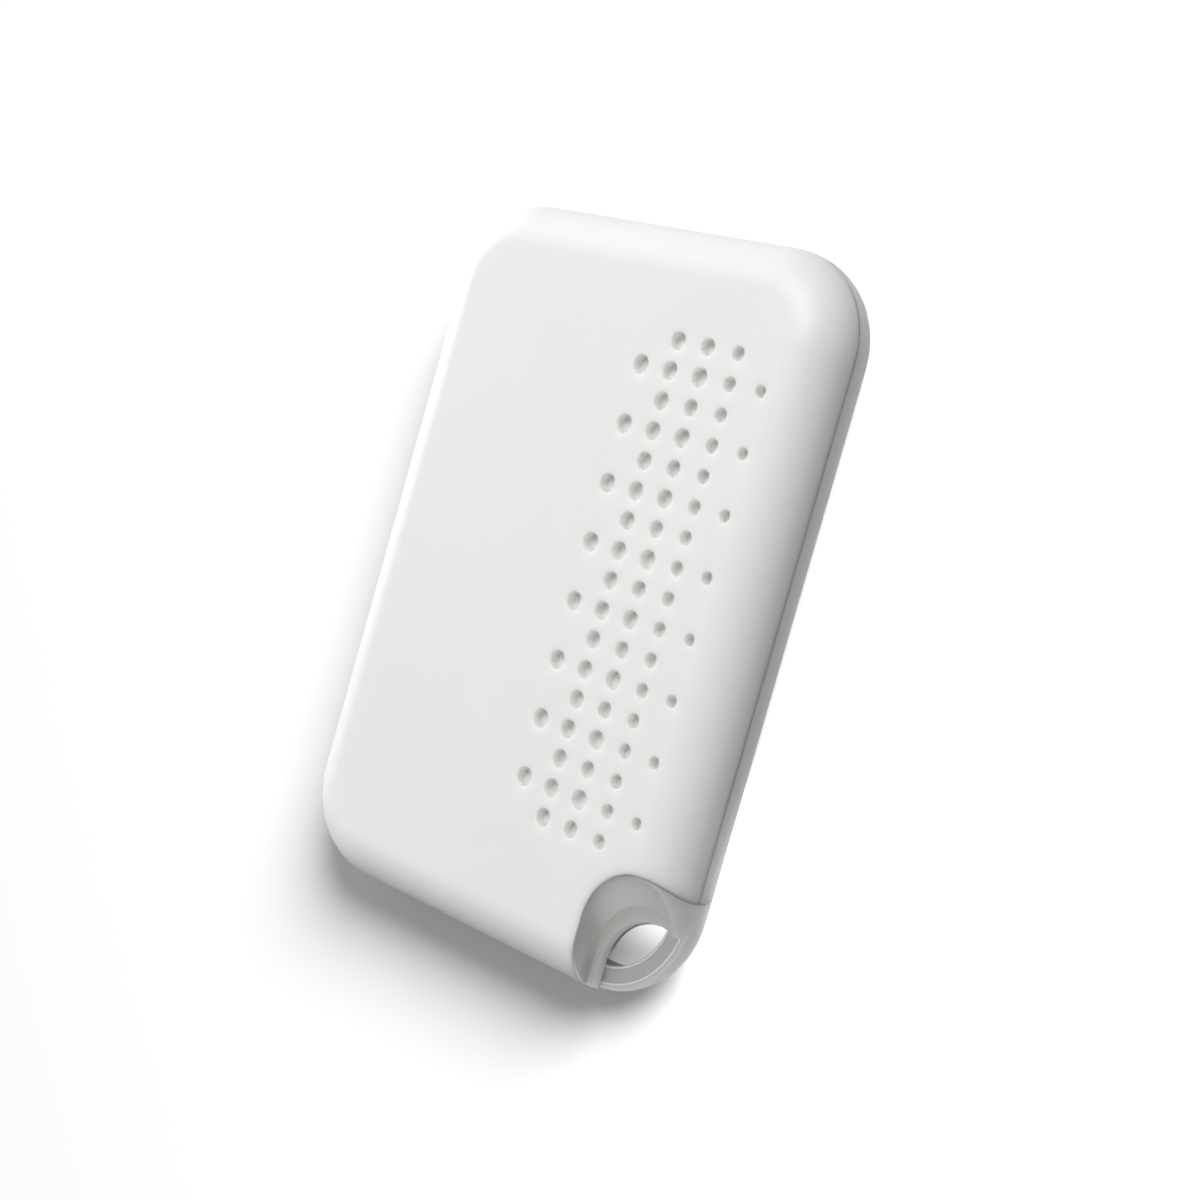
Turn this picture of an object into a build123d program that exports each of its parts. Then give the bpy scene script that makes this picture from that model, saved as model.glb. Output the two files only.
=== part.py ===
from build123d import *
import math
import os

# Bluetooth beacon for a key ring: a small white slab that comes apart into two moulded covers,
# a frosted corner insert that forms the lanyard loop, and a circuit board round a coin cell.
# It lies on its back: +Z goes out through the dimpled front, +Y away from the loop.
# All sizes are in millimetres.

# Coin cell
cell_diameter = 20.0
cell_thickness = 3.2
can_wall = 0.25
cap_rim_inset = 0.85
gasket_wall = 0.3
cell_gap = 0.1
anode_thickness = 0.6
separator_thickness = 0.15

# Covers: their width and length are worked out below from the cell and the board round it
corner_radius = 5.2
front_wall = 1.0
rear_wall = 0.8
side_wall = 1.0
contact_room = 0.35
front_room = 0.25
edge_land = 0.4
hold_down_gap = 0.1
hold_down_count = 3
hold_down_pitch = 5.0
hold_down_length = 14.0
hold_down_width = 0.8
cell_end_gap = 4.4
cell_side_gap = 3.1
seat_rib_gap = 0.15
seat_rib_width = 0.6
seat_rib_length = 4.0
seat_rib_angles = (45, 135, 225, 315)
cut_margin = 1.0

# Seam between the covers
tongue_inset = 0.55
tongue_height = 0.6
seam_clearance = 0.05
pry_notch_length = 5.0
pry_notch_depth = 0.45
pry_notch_height = 0.5

# Locating pins between the covers
pin_diameter = 1.6
pin_inset = 3.7
pin_clearance = 0.04
post_diameter = 2.8
pin_end_gap = 0.3

# Circuit board
board_thickness = 0.8
board_lift = 0.8
board_wall_gap = 0.15
board_pin_clearance = 0.08
board_rib_gap = 0.15
board_insert_gap = 0.3
copper_thickness = 0.05
board_clamp_gap = 0.05

# Corner insert: places are measured in from the two sides that meet at its corner
insert_gap = 0.06
front_arch_radius = 3.05
front_arch_side = 1.9
front_arch_end = 3.85
rear_arch_radius = 4.6
rear_arch_side = 2.8
flange_width = 0.8
flange_gap = 0.08
scoop_bevel = 0.5
scoop_bevel_depth = 0.8
scoop_floor_inset = 0.45
scoop_floor_end = 2.5
rear_bevel = 0.6
hole_end = 1.75
waist_thickness = 0.4
bar_top = 2.9
ledge_drop = 0.2
bar_thickness = 1.6
bar_width = 1.3
bar_bevel = 0.25

# Dimples on the front: their columns run along the body and get smaller towards the side.
# The middle of their field is measured in from that side and up from the body's middle.
dimple_depth = 0.6
dimple_sides = 8
dimple_pitch_across = 2.06
dimple_pitch_along = 1.63
dimple_rows = 17
dimple_field_side = 7.27
dimple_field_up = 0.77
wide_row_diameters = (1.02, 0.98, 1.0, 0.78, 0.64)
narrow_row_diameters = (0.96, 0.89, 0.76)

# Contacts
strip_thickness = 0.15
negative_strip_width = 4.0
negative_tab_gap = 0.3
negative_pad_diameter = 3.0
positive_band_gap = 0.1
positive_band_height = 1.5
positive_band_angle = 70.0
positive_slot_width = 0.5
positive_slot_angle = 12.0
positive_foot_length = 1.1
positive_foot_width = 1.3
positive_foot_angle = 23.0

# Radio chip and the parts round it
chip_size = 5.0
chip_height = 0.85
chip_x = -1.0
chip_marker = 0.4
chip_marker_depth = 0.1
chip_edge = 0.03
chip_gap = 0.8
main_crystal_length = 2.0
main_crystal_width = 1.6
main_crystal_height = 0.5
watch_crystal_length = 3.2
watch_crystal_width = 1.5
watch_crystal_height = 0.75
crystal_lid_inset = 0.06
inductor_length = 1.6
inductor_width = 0.8
inductor_height = 0.8
bulk_length = 3.2
bulk_width = 2.5
bulk_height = 1.6
bulk_side = 6.6
bulk_up = 1.9
led_length = 1.6
led_width = 0.8
led_height = 0.6
led_insert_gap = 0.5
led_up = 2.5
small_length = 1.0
small_width = 0.5
small_height = 0.5
small_gap = 0.4
small_pitch = 1.8
resistor_height = 0.25
terminal_share = 0.22
terminal_step = 0.03
pad_size = 0.9
pad_pitch = 1.5
pad_side = 3.2
pad_down = 2.4
pad_count = 5

# Antenna on the loop end of the board, folded away from its feed beside the lamp
antenna_line = 0.45
antenna_post_gap = 1.1
antenna_runs = 9
antenna_depth = 2.6
antenna_end = 2.1
feed_gap = 3.6

# Heights
body_thickness = rear_wall + contact_room + cell_thickness + front_room + front_wall
edge_radius = (body_thickness - edge_land) / 2
split_z = body_thickness / 2
cavity_top = body_thickness - front_wall
cell_bottom = rear_wall + contact_room
cell_top = cell_bottom + cell_thickness
board_bottom = rear_wall + board_lift
board_top = board_bottom + board_thickness

# The cavity's bevels touch the arc that keeps an even wall behind the rounded edges
bevel_share = 2 - math.sqrt(2)
cavity_bevel = (edge_radius - side_wall) * bevel_share

# Width: the cell, the ribs that seat it, the board's hole round them and the rim outside
cell_radius = cell_diameter / 2
seat_radius = cell_radius + seat_rib_gap
board_hole_radius = seat_radius + seat_rib_width + board_rib_gap
side_x = board_hole_radius + cell_side_gap
body_width = 2 * side_x

# Length from the loop end: antenna, its matching parts, the chip between two rows of capacitors,
# the feet of the cell's side contact, then the cell
matching_end = antenna_end + antenna_depth + small_gap
low_row_end = matching_end + small_length + small_gap + small_width / 2
chip_end = low_row_end + chip_gap + chip_size / 2
high_row_end = chip_end + chip_size / 2 + chip_gap
cell_end = high_row_end + small_width / 2 + positive_foot_length + board_hole_radius
body_length = cell_end + cell_radius + cell_end_gap
end_y = -body_length / 2
cell_y = end_y + cell_end
chip_y = end_y + chip_end

# Other places
corner_x = side_x - corner_radius
corner_y = end_y + corner_radius
pin_x = side_x - pin_inset
pin_y = body_length / 2 - pin_inset
pin_places = [(-pin_x, pin_y), (pin_x, pin_y), (-pin_x, -pin_y)]
notch_x = side_x - rear_arch_side - rear_arch_radius - flange_width - board_insert_gap
lamp_x = notch_x - led_insert_gap - led_width / 2
feed_x = lamp_x - feed_gap
antenna_pitch = (feed_x + pin_x - post_diameter / 2 - antenna_post_gap) / (antenna_runs - 1)
past_body = body_length

# Worked out for the corner insert: its two arches meet on the side of the body,
# and the hole is as wide as the floor of the scoop
front_arch_rise = math.sqrt(front_arch_radius ** 2 - front_arch_side ** 2)
rear_arch_rise = math.sqrt(rear_arch_radius ** 2 - rear_arch_side ** 2)
rear_arch_end = front_arch_end + front_arch_rise - rear_arch_rise
hole_radius = front_arch_radius - scoop_floor_inset
ledge_z = bar_top - ledge_drop
waist_z = ledge_z - waist_thickness

# Worked out for the coin cell: its inner wall, the crimped edge of its can, its cap and its discs
can_inner = cell_radius - can_wall
crimp_radius = cell_radius - cap_rim_inset
crimp_bottom = cell_bottom + gasket_wall
can_roof = cell_top - can_wall
cap_radius = crimp_radius - gasket_wall
cap_inner = cap_radius - can_wall
cap_top = can_roof - can_wall
cap_floor = cell_bottom + can_wall
disc_diameter = 2 * (cap_inner - cell_gap)
separator_bottom = cap_floor + anode_thickness
cathode_bottom = separator_bottom + separator_thickness


def slab(inset, bottom, top):
    """Plate with round corners between two heights, set in from the outline."""
    plan = RectangleRounded(body_width - 2 * inset, body_length - 2 * inset, corner_radius - inset)
    return extrude(Plane.XY.offset(bottom) * plan, top - bottom)


def flat_edges(solid):
    """Edges round the lower and the upper face."""
    flats = solid.faces().sort_by(Axis.Z)
    return flats[0].edges() + flats[-1].edges()


def outer_slab():
    """The closed beacon as one solid, its edges rounded almost to a half circle."""
    solid = slab(0, 0, body_thickness)
    return fillet(flat_edges(solid), edge_radius)


def cavity(gap=0):
    """The space inside the covers. Its bevels keep the wall even behind the rounded edges."""
    solid = slab(side_wall + gap, rear_wall, cavity_top - gap)
    return chamfer(flat_edges(solid), cavity_bevel)


def layer(bottom, top):
    """Everything between two heights."""
    size = 2 * past_body
    return Pos(0, 0, bottom) * Box(size, size, top - bottom, align=(Align.CENTER, Align.CENTER, Align.MIN))


def rod(x, y, diameter, bottom, top):
    """Upright cylinder between two heights."""
    standing = (Align.CENTER, Align.CENTER, Align.MIN)
    return Pos(x, y, bottom) * Cylinder(diameter / 2, top - bottom, align=standing)


def block(x, y, z, length, width, height):
    """Box that stands on height z with its middle at x, y."""
    return Pos(x, y, z) * Box(length, width, height, align=(Align.CENTER, Align.CENTER, Align.MIN))


def wall_inset(z):
    """How far the cavity's bevelled side wall stands in from the outline at a height."""
    return side_wall + max(cavity_bevel - min(z - rear_wall, cavity_top - z), 0)


def arch(z, radius, from_side, from_end):
    """Arch outline at a height: round towards +Y, its legs running out past the end of the body."""
    x = side_x - from_side
    y = end_y + from_end
    foot = y - past_body
    with BuildSketch(Plane.XY.offset(z)) as outline:
        with BuildLine():
            Line((x - radius, foot), (x - radius, y))
            ThreePointArc((x - radius, y), (x, y + radius), (x + radius, y))
            Line((x + radius, y), (x + radius, foot))
            Line((x + radius, foot), (x - radius, foot))
        make_face()
    return outline.sketch


def front_arch(grow, bottom, top):
    """Prism of the insert's outline in the front cover, grown by a gap."""
    return extrude(arch(bottom, front_arch_radius + grow, front_arch_side, front_arch_end), top - bottom)


def rear_arch(grow, bottom, top):
    """Prism of the insert's outline in the rear cover, grown by a gap."""
    return extrude(arch(bottom, rear_arch_radius + grow, rear_arch_side, rear_arch_end), top - bottom)


def dimple_cutters():
    """Blind dimples with a few sides each: a wide row of five, then a narrow row of three, and so on."""
    cutters = []
    floor = Plane.XY.offset(body_thickness - dimple_depth)
    for row in range(dimple_rows):
        diameters = wide_row_diameters if row % 2 else narrow_row_diameters
        y = dimple_field_up + (row - (dimple_rows - 1) / 2) * dimple_pitch_along
        for column, diameter in enumerate(diameters):
            x = side_x - dimple_field_side + (column - (len(diameters) - 1) / 2) * dimple_pitch_across
            outline = floor * Pos(x, y) * RegularPolygon(diameter / 2, dimple_sides)
            cutters.append(extrude(outline, dimple_depth + cut_margin))
    return cutters


def tongue_ring(outer_inset, inner_inset, top):
    """Ring along the seam between two insets from the outline."""
    rings = [
        RectangleRounded(body_width - 2 * inset, body_length - 2 * inset, corner_radius - inset)
        for inset in (outer_inset, inner_inset)
    ]
    return extrude(Plane.XY.offset(split_z) * (rings[0] - rings[1]), top - split_z)


def front_cover():
    """Front shell with the dimples, the groove of the seam, sockets for the pins and hold-down ribs."""
    shell = (outer_slab() - cavity()) & layer(split_z, body_thickness)
    groove_top = split_z + tongue_height + seam_clearance
    shell -= tongue_ring(tongue_inset - seam_clearance, wall_inset(groove_top) + side_wall, groove_top)
    rib_bottom = cell_top + hold_down_gap
    for index in range(hold_down_count):
        x = (index - (hold_down_count - 1) / 2) * hold_down_pitch
        shell += block(x, cell_y, rib_bottom, hold_down_width, hold_down_length, cavity_top - rib_bottom)
    for x, y in pin_places:
        shell += rod(x, y, post_diameter, board_top + board_clamp_gap, cavity_top)
    for x, y in pin_places:
        shell -= rod(x, y, pin_diameter + 2 * pin_clearance, board_top, cavity_top - pin_end_gap / 2)
    shell -= front_arch(insert_gap, board_bottom, body_thickness + cut_margin)
    return shell - dimple_cutters()


def seat_rib():
    """One of the curved ribs round the coin cell."""
    ring = rod(0, 0, 2 * (seat_radius + seat_rib_width), rear_wall, board_top)
    ring -= rod(0, 0, 2 * seat_radius, rear_wall, board_top)
    return ring & block(seat_radius, 0, rear_wall, 2 * seat_rib_length, seat_rib_length, board_top)


def rear_cover():
    """Rear shell with the tongue of the seam, posts and pins for the board and a seat for the cell."""
    shell = (outer_slab() - cavity()) & layer(0, split_z)
    shell += tongue_ring(tongue_inset, side_wall, split_z + tongue_height)
    for angle in seat_rib_angles:
        shell += Pos(0, cell_y, 0) * Rot(0, 0, angle) * seat_rib()
    for x, y in pin_places:
        shell += rod(x, y, post_diameter, rear_wall, board_bottom)
        shell += rod(x, y, pin_diameter, rear_wall, cavity_top - pin_end_gap)
    notch_z = split_z - pry_notch_height
    shell -= block(-side_x, 0, notch_z, 2 * pry_notch_depth, pry_notch_length, pry_notch_height)
    shell -= rear_arch(insert_gap, -cut_margin, split_z)
    shell -= rear_arch(insert_gap + flange_width, split_z, body_thickness)
    return shell


def front_scoop():
    """Hollow that leads the key ring in from the front: a bevel, then a wall that leans towards +Y."""
    rim = arch(body_thickness, front_arch_radius, front_arch_side, front_arch_end)
    throat_z = body_thickness - scoop_bevel_depth
    throat = arch(throat_z, front_arch_radius - scoop_bevel, front_arch_side, front_arch_end)
    floor = arch(ledge_z, hole_radius, front_arch_side, scoop_floor_end)
    return loft([throat, rim], ruled=True) + loft([floor, throat], ruled=True)


def rear_scoop():
    """Hollow on the back, wider than the front one, up to the thin waist of the hole."""
    rim = arch(0, rear_arch_radius, rear_arch_side, rear_arch_end)
    throat = arch(rear_bevel, rear_arch_radius - rear_bevel, rear_arch_side, rear_arch_end)
    waist = arch(waist_z, hole_radius, front_arch_side, hole_end)
    hole = extrude(waist, waist_thickness)
    return loft([rim, throat], ruled=True) + loft([throat, waist], ruled=True) + hole


def loop_bar():
    """Bar round the corner that the key ring hangs on, proud of the ledge, with its long edges bevelled."""
    middle = Pos(corner_radius - bar_width / 2, bar_top - bar_thickness / 2)
    section = Rectangle(bar_width, bar_thickness)
    section = chamfer(section.vertices(), bar_bevel)
    ring = revolve(Plane.XZ * middle * section, Axis.Z, 360)
    corner = Pos(past_body / 2, -past_body / 2, 0) * Box(past_body, past_body, past_body)
    return Pos(corner_x, corner_y, 0) * (ring & corner)


def corner_loop():
    """Frosted insert: flush with both covers, clamped by its flange, scooped out round the bar."""
    arches = front_arch(0, split_z, body_thickness) + rear_arch(0, 0, split_z)
    body = outer_slab() & arches
    flange = cavity(flange_gap) & rear_arch(flange_width, rear_wall, cavity_top)
    bar = body & loop_bar()
    return body + flange - front_scoop() - rear_scoop() + bar


def circuit_board():
    """Fibreglass board that frames the cell, with pin holes and a notch for the insert."""
    inset = wall_inset(board_bottom) + board_wall_gap
    plan = RectangleRounded(body_width - 2 * inset, body_length - 2 * inset, corner_radius - inset)
    board = extrude(Plane.XY.offset(board_bottom) * plan, board_thickness)
    board -= rod(0, cell_y, 2 * board_hole_radius, board_bottom, board_top)
    board -= rear_arch(flange_width + board_insert_gap, board_bottom, board_top)
    for x, y in pin_places:
        board -= rod(x, y, pin_diameter + 2 * board_pin_clearance, board_bottom, board_top)
    return board


def revolved(points):
    """Ring or disc of the coin cell, turned from a section given as radius and height."""
    with BuildSketch(Plane.XZ) as section:
        with BuildLine():
            Polyline(*points, close=True)
        make_face()
    return Pos(0, cell_y, 0) * revolve(section.sketch, Axis.Z, 360)


def cell_can():
    """Positive can: a flat top and a side wall whose lower edge is turned in under the gasket."""
    return revolved([
        (0, cell_top), (cell_radius, cell_top), (cell_radius, crimp_bottom), (crimp_radius, crimp_bottom),
        (crimp_radius, crimp_bottom + can_wall), (can_inner, crimp_bottom + can_wall),
        (can_inner, can_roof), (0, can_roof),
    ])


def cell_cap():
    """Negative cap: the disc that the lower contact touches, with its wall inside the gasket."""
    return revolved([
        (0, cell_bottom), (cap_radius, cell_bottom), (cap_radius, cap_top),
        (cap_inner, cap_top), (cap_inner, cap_floor), (0, cap_floor),
    ])


def cell_gasket():
    """Seal between the can and the cap."""
    return revolved([
        (cap_radius, crimp_bottom), (crimp_radius, crimp_bottom),
        (crimp_radius, can_roof), (cap_radius, can_roof),
    ])


def cell_anode():
    """Lithium disc on the cap."""
    return rod(0, cell_y, disc_diameter, cap_floor, separator_bottom)


def cell_separator():
    """Thin sheet between the two electrodes."""
    return rod(0, cell_y, disc_diameter, separator_bottom, cathode_bottom)


def cell_cathode():
    """Pressed tablet under the can's top."""
    return rod(0, cell_y, disc_diameter, cathode_bottom, can_roof)


def negative_contact():
    """Spring strip under the cell: two tabs soldered below the board and a raised pad at the cap."""
    low = rear_wall + (contact_room - strip_thickness) / 2
    tab_z = board_bottom - strip_thickness
    riser_x = board_hole_radius - strip_thickness / 2
    riser_height = board_bottom - low
    tab_length = side_x - wall_inset(tab_z) - negative_tab_gap - riser_x
    tab_x = riser_x + tab_length / 2
    strip = block(0, cell_y, low, 2 * board_hole_radius, negative_strip_width, strip_thickness)
    for side in (-1, 1):
        strip += block(side * riser_x, cell_y, low, strip_thickness, negative_strip_width, riser_height)
        strip += block(side * tab_x, cell_y, tab_z, tab_length, negative_strip_width, strip_thickness)
    for side in (-1, 1):
        slot_y = cell_y + side * negative_strip_width / 4
        strip -= block(0, slot_y, low, cell_radius, strip_thickness, strip_thickness)
    return strip + rod(0, cell_y, negative_pad_diameter, low, cell_bottom)


def positive_contact():
    """Sprung band along the can's side, cut into fingers, on two feet soldered to the board."""
    inner = cell_radius + positive_band_gap
    outer = inner + strip_thickness
    band = rod(0, cell_y, 2 * outer, board_top, board_top + positive_band_height)
    half = math.radians(positive_band_angle / 2)
    side_reach = cell_diameter * math.sin(half)
    end_reach = cell_diameter * math.cos(half)
    wedge = make_face(Polyline((0, 0), (-side_reach, -end_reach), (side_reach, -end_reach), close=True))
    band &= Pos(0, cell_y, board_top) * extrude(wedge, positive_band_height)
    slot_bottom = board_top + 2 * strip_thickness
    slot_depth = 2 * (positive_band_gap + strip_thickness)
    foot_reach = board_hole_radius + positive_foot_length - inner
    for side in (-1, 1):
        slot = block(0, -inner, slot_bottom, positive_slot_width, slot_depth, positive_band_height)
        foot = block(0, -inner - foot_reach / 2, board_top, positive_foot_width, foot_reach, strip_thickness)
        band -= Pos(0, cell_y, 0) * Rot(0, 0, side * positive_slot_angle) * slot
        band += Pos(0, cell_y, 0) * Rot(0, 0, side * positive_foot_angle) * foot
    return band - rod(0, cell_y, 2 * inner, board_bottom, cavity_top)


def two_terminal(x, y, length, width, height, turn=0):
    """Small two-ended part on the board: a body a little slimmer than its two metal ends."""
    end = length * terminal_share
    body = block(0, 0, 0, length - end, width - 2 * terminal_step, height - terminal_step)
    for side in (-1, 1):
        body += block(side * (length - end) / 2, 0, 0, end, width, height)
    return Pos(x, y, board_top) * Rot(0, 0, turn) * body


def bluetooth_chip():
    """Flat square radio chip with the dent that marks its first pin."""
    chip = block(chip_x, chip_y, board_top, chip_size, chip_size, chip_height)
    chip = chamfer(chip.faces().sort_by(Axis.Z)[-1].edges(), chip_edge)
    mark = chip_size / 2 - 2 * chip_marker
    top = board_top + chip_height
    return chip - rod(chip_x - mark, chip_y + mark, chip_marker, top - chip_marker_depth, top)


def crystal(x, y, length, width, height):
    """Crystal can: a ceramic base and a slightly smaller metal lid."""
    base = block(x, y, board_top, length, width, height / 2)
    lid = block(x, y, board_top, length - 2 * crystal_lid_inset, width - 2 * crystal_lid_inset, height)
    return base + lid


def main_crystal():
    """Crystal of the radio, beside the chip."""
    x = chip_x - chip_size / 2 - chip_gap - main_crystal_length / 2
    y = chip_y + main_crystal_width / 2
    return crystal(x, y, main_crystal_length, main_crystal_width, main_crystal_height)


def watch_crystal():
    """Slow crystal that times the broadcasts."""
    x = chip_x - chip_size / 2 - chip_gap - watch_crystal_length / 2
    y = chip_y - watch_crystal_width / 2 - chip_gap
    return crystal(x, y, watch_crystal_length, watch_crystal_width, watch_crystal_height)


def power_inductor():
    """Inductor of the chip's own supply."""
    x = chip_x + chip_size / 2 + chip_gap + inductor_width / 2
    y = chip_y + inductor_length / 2
    return two_terminal(x, y, inductor_length, inductor_width, inductor_height, 90)


def bulk_capacitor():
    """Large capacitor that carries the cell through each broadcast."""
    return two_terminal(side_x - bulk_side, chip_y + bulk_up, bulk_length, bulk_width, bulk_height)


def decoupling_capacitors():
    """Two rows of small capacitors, above and below the chip."""
    rows = (end_y + low_row_end, end_y + high_row_end)
    places = [(chip_x + step * small_pitch, y) for y in rows for step in (-1, 0, 1)]
    return [two_terminal(x, y, small_length, small_width, small_height) for x, y in places]


def resistors():
    """Pull-up resistors above the crystal and the resistor of the lamp."""
    x = chip_x - chip_size / 2 - chip_gap - small_length
    y = chip_y + main_crystal_width + chip_gap
    lamp_y = end_y + antenna_end + led_up + led_length + small_gap
    places = [(x, y), (x, y + small_width + small_gap), (lamp_x, lamp_y)]
    return [two_terminal(a, b, small_length, small_width, resistor_height) for a, b in places]


def status_lamp():
    """Small lamp beside the frosted insert, which carries its light out to the loop."""
    return two_terminal(lamp_x, end_y + antenna_end + led_up, led_length, led_width, led_height, 90)


def antenna_x(run):
    """Place of one of the antenna's runs across the board, counted from its feed."""
    return feed_x - run * antenna_pitch


def antenna_trace():
    """Copper line folded back and forth along the loop end of the board."""
    low = end_y + antenna_end
    middle_y = low + antenna_depth / 2
    trace = [block(antenna_x(run), middle_y, board_top, antenna_line, antenna_depth, copper_thickness)
             for run in range(antenna_runs)]
    for run in range(antenna_runs - 1):
        y = low + (antenna_depth - antenna_line / 2 if run % 2 else antenna_line / 2)
        x = antenna_x(run) - antenna_pitch / 2
        trace.append(block(x, y, board_top, antenna_pitch + antenna_line, antenna_line, copper_thickness))
    feed_y = low + antenna_depth
    trace.append(block(feed_x, feed_y, board_top, antenna_line, 2 * small_gap, copper_thickness))
    return trace[0] + trace[1:]


def matching_parts():
    """Three small parts that match the antenna to the chip."""
    y = end_y + matching_end + small_length / 2
    places = [feed_x + step * (small_width + small_gap) for step in (-1, 0, 1)]
    return [two_terminal(x, y, small_length, small_width, small_height, 90) for x in places]


def test_pads():
    """Row of copper pads that the maker programs the chip through."""
    x = -side_x + pad_side
    places = [chip_y - pad_down + index * pad_pitch for index in range(pad_count)]
    return [block(x, y, board_top, pad_size, pad_size, copper_thickness) for y in places]


parts = {
    "front_cover": front_cover,
    "rear_cover": rear_cover,
    "corner_loop": corner_loop,
    "circuit_board": circuit_board,
    "bluetooth_chip": bluetooth_chip,
    "main_crystal": main_crystal,
    "watch_crystal": watch_crystal,
    "power_inductor": power_inductor,
    "bulk_capacitor": bulk_capacitor,
    "decoupling_capacitors": decoupling_capacitors,
    "resistors": resistors,
    "status_lamp": status_lamp,
    "antenna_trace": antenna_trace,
    "matching_parts": matching_parts,
    "test_pads": test_pads,
    "negative_contact": negative_contact,
    "positive_contact": positive_contact,
    "cell_can": cell_can,
    "cell_gasket": cell_gasket,
    "cell_cap": cell_cap,
    "cell_anode": cell_anode,
    "cell_separator": cell_separator,
    "cell_cathode": cell_cathode,
}

os.makedirs("parts", exist_ok=True)
for name, build in parts.items():
    solids = build()
    if isinstance(solids, list):
        solids = Compound(children=solids)
    export_step(solids, f"parts/{name}.step")
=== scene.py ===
"""Looks of the bluetooth beacon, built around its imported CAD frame."""

import logging
import math
from dataclasses import dataclass
from enum import Enum
from functools import cache
from typing import ClassVar, Iterable, Sequence

import bmesh
import bpy
from mathutils import Matrix, Vector


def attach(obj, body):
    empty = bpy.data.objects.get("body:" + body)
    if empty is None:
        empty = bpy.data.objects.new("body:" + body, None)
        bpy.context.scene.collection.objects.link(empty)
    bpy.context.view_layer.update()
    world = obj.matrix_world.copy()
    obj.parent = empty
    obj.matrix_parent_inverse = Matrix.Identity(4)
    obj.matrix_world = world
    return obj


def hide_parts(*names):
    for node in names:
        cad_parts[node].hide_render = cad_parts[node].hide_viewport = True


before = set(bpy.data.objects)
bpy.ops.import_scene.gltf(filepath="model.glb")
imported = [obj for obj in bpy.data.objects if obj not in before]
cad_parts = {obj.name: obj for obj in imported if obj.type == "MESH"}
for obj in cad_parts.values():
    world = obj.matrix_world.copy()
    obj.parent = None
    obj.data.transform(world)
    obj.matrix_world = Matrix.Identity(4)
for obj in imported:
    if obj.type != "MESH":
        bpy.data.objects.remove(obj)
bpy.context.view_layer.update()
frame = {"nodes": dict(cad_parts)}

LOG = logging.getLogger("beacon")
MM = 0.001
FULL_TURN = 2 * math.pi
UP = Vector((0, 0, 1))
WHITE = (1.0, 1.0, 1.0, 1.0)

# A face counts as level when its normal's height is above this
LEVEL = 0.999

# Edges with a larger angle than this stay sharp
SHARP_ANGLE = math.radians(32)

# How far a cutter runs past what it cuts, in millimetres
PAST = 1.0

# Waves that a wave texture of scale 1 has in one unit of length
WAVES_PER_UNIT = 20


class Cut(Enum):
    """How one solid is combined with another."""

    JOIN = "UNION"
    REMOVE = "DIFFERENCE"
    KEEP_COMMON = "INTERSECT"


class Body(Enum):
    """The moving bodies of the CAD frame."""

    BASE = "base"
    FRONT = "front"
    CELL = "cell"


# Shaping: every shape is made in millimetres and turned into metres when its piece is finished


def to_object(bm: bmesh.types.BMesh, name: str) -> bpy.types.Object:
    """Puts a bmesh into a new object.

    Args:
        bm: closed shape in millimetres; it is freed here.
        name: name of the object and of its mesh.

    Returns:
        The new object, linked to the scene.
    """
    bmesh.ops.recalc_face_normals(bm, faces=bm.faces)
    mesh = bpy.data.meshes.new(name)
    bm.to_mesh(mesh)
    bm.free()
    obj = bpy.data.objects.new(name, mesh)
    bpy.context.scene.collection.objects.link(obj)
    return obj


def applied(obj: bpy.types.Object) -> bpy.types.Object:
    """Applies an object's modifiers to its mesh.

    Args:
        obj: object with live modifiers.

    Returns:
        The same object, with no modifiers left.
    """
    depsgraph = bpy.context.evaluated_depsgraph_get()
    mesh = bpy.data.meshes.new_from_object(obj.evaluated_get(depsgraph))
    old = obj.data
    obj.modifiers.clear()
    obj.data = mesh
    bpy.data.meshes.remove(old)
    mesh.name = obj.name
    return obj


def combine(body: bpy.types.Object, tool: bpy.types.Object, how: Cut) -> bpy.types.Object:
    """Joins a tool to a body, or cuts the body with it, and removes the tool.

    Args:
        body: the piece being shaped.
        tool: the solid that is added or taken away.
        how: what is done with the tool.

    Returns:
        The body with its new mesh.
    """
    modifier = body.modifiers.new("cut", "BOOLEAN")
    modifier.object = tool
    modifier.operation = how.value
    modifier.solver = "EXACT"
    applied(body)
    mesh = tool.data
    bpy.data.objects.remove(tool)
    bpy.data.meshes.remove(mesh)
    return body


def flat_face_edges(bm: bmesh.types.BMesh, direction: float) -> list[bmesh.types.BMEdge]:
    """Edges round the faces that look straight up or straight down.

    Args:
        bm: the shape.
        direction: 1 for the upper faces and -1 for the lower ones.

    Returns:
        The edges without repeats, in a fixed order.
    """
    bm.normal_update()
    faces = [f for f in bm.faces if f.normal.z * direction > LEVEL]
    return list(dict.fromkeys(edge for face in faces for edge in face.edges))


def bevel(bm: bmesh.types.BMesh, edges: Iterable[bmesh.types.BMEdge], width: float, segments: int) -> None:
    """Rounds edges of a bmesh.

    Args:
        bm: the shape.
        edges: the edges to round.
        width: radius of the round on a square edge.
        segments: number of steps across the round.
    """
    bmesh.ops.bevel(
        bm, geom=list(edges), offset=width, offset_type="OFFSET", segments=segments,
        profile=0.5, affect="EDGES", material=-1,
    )


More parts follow.
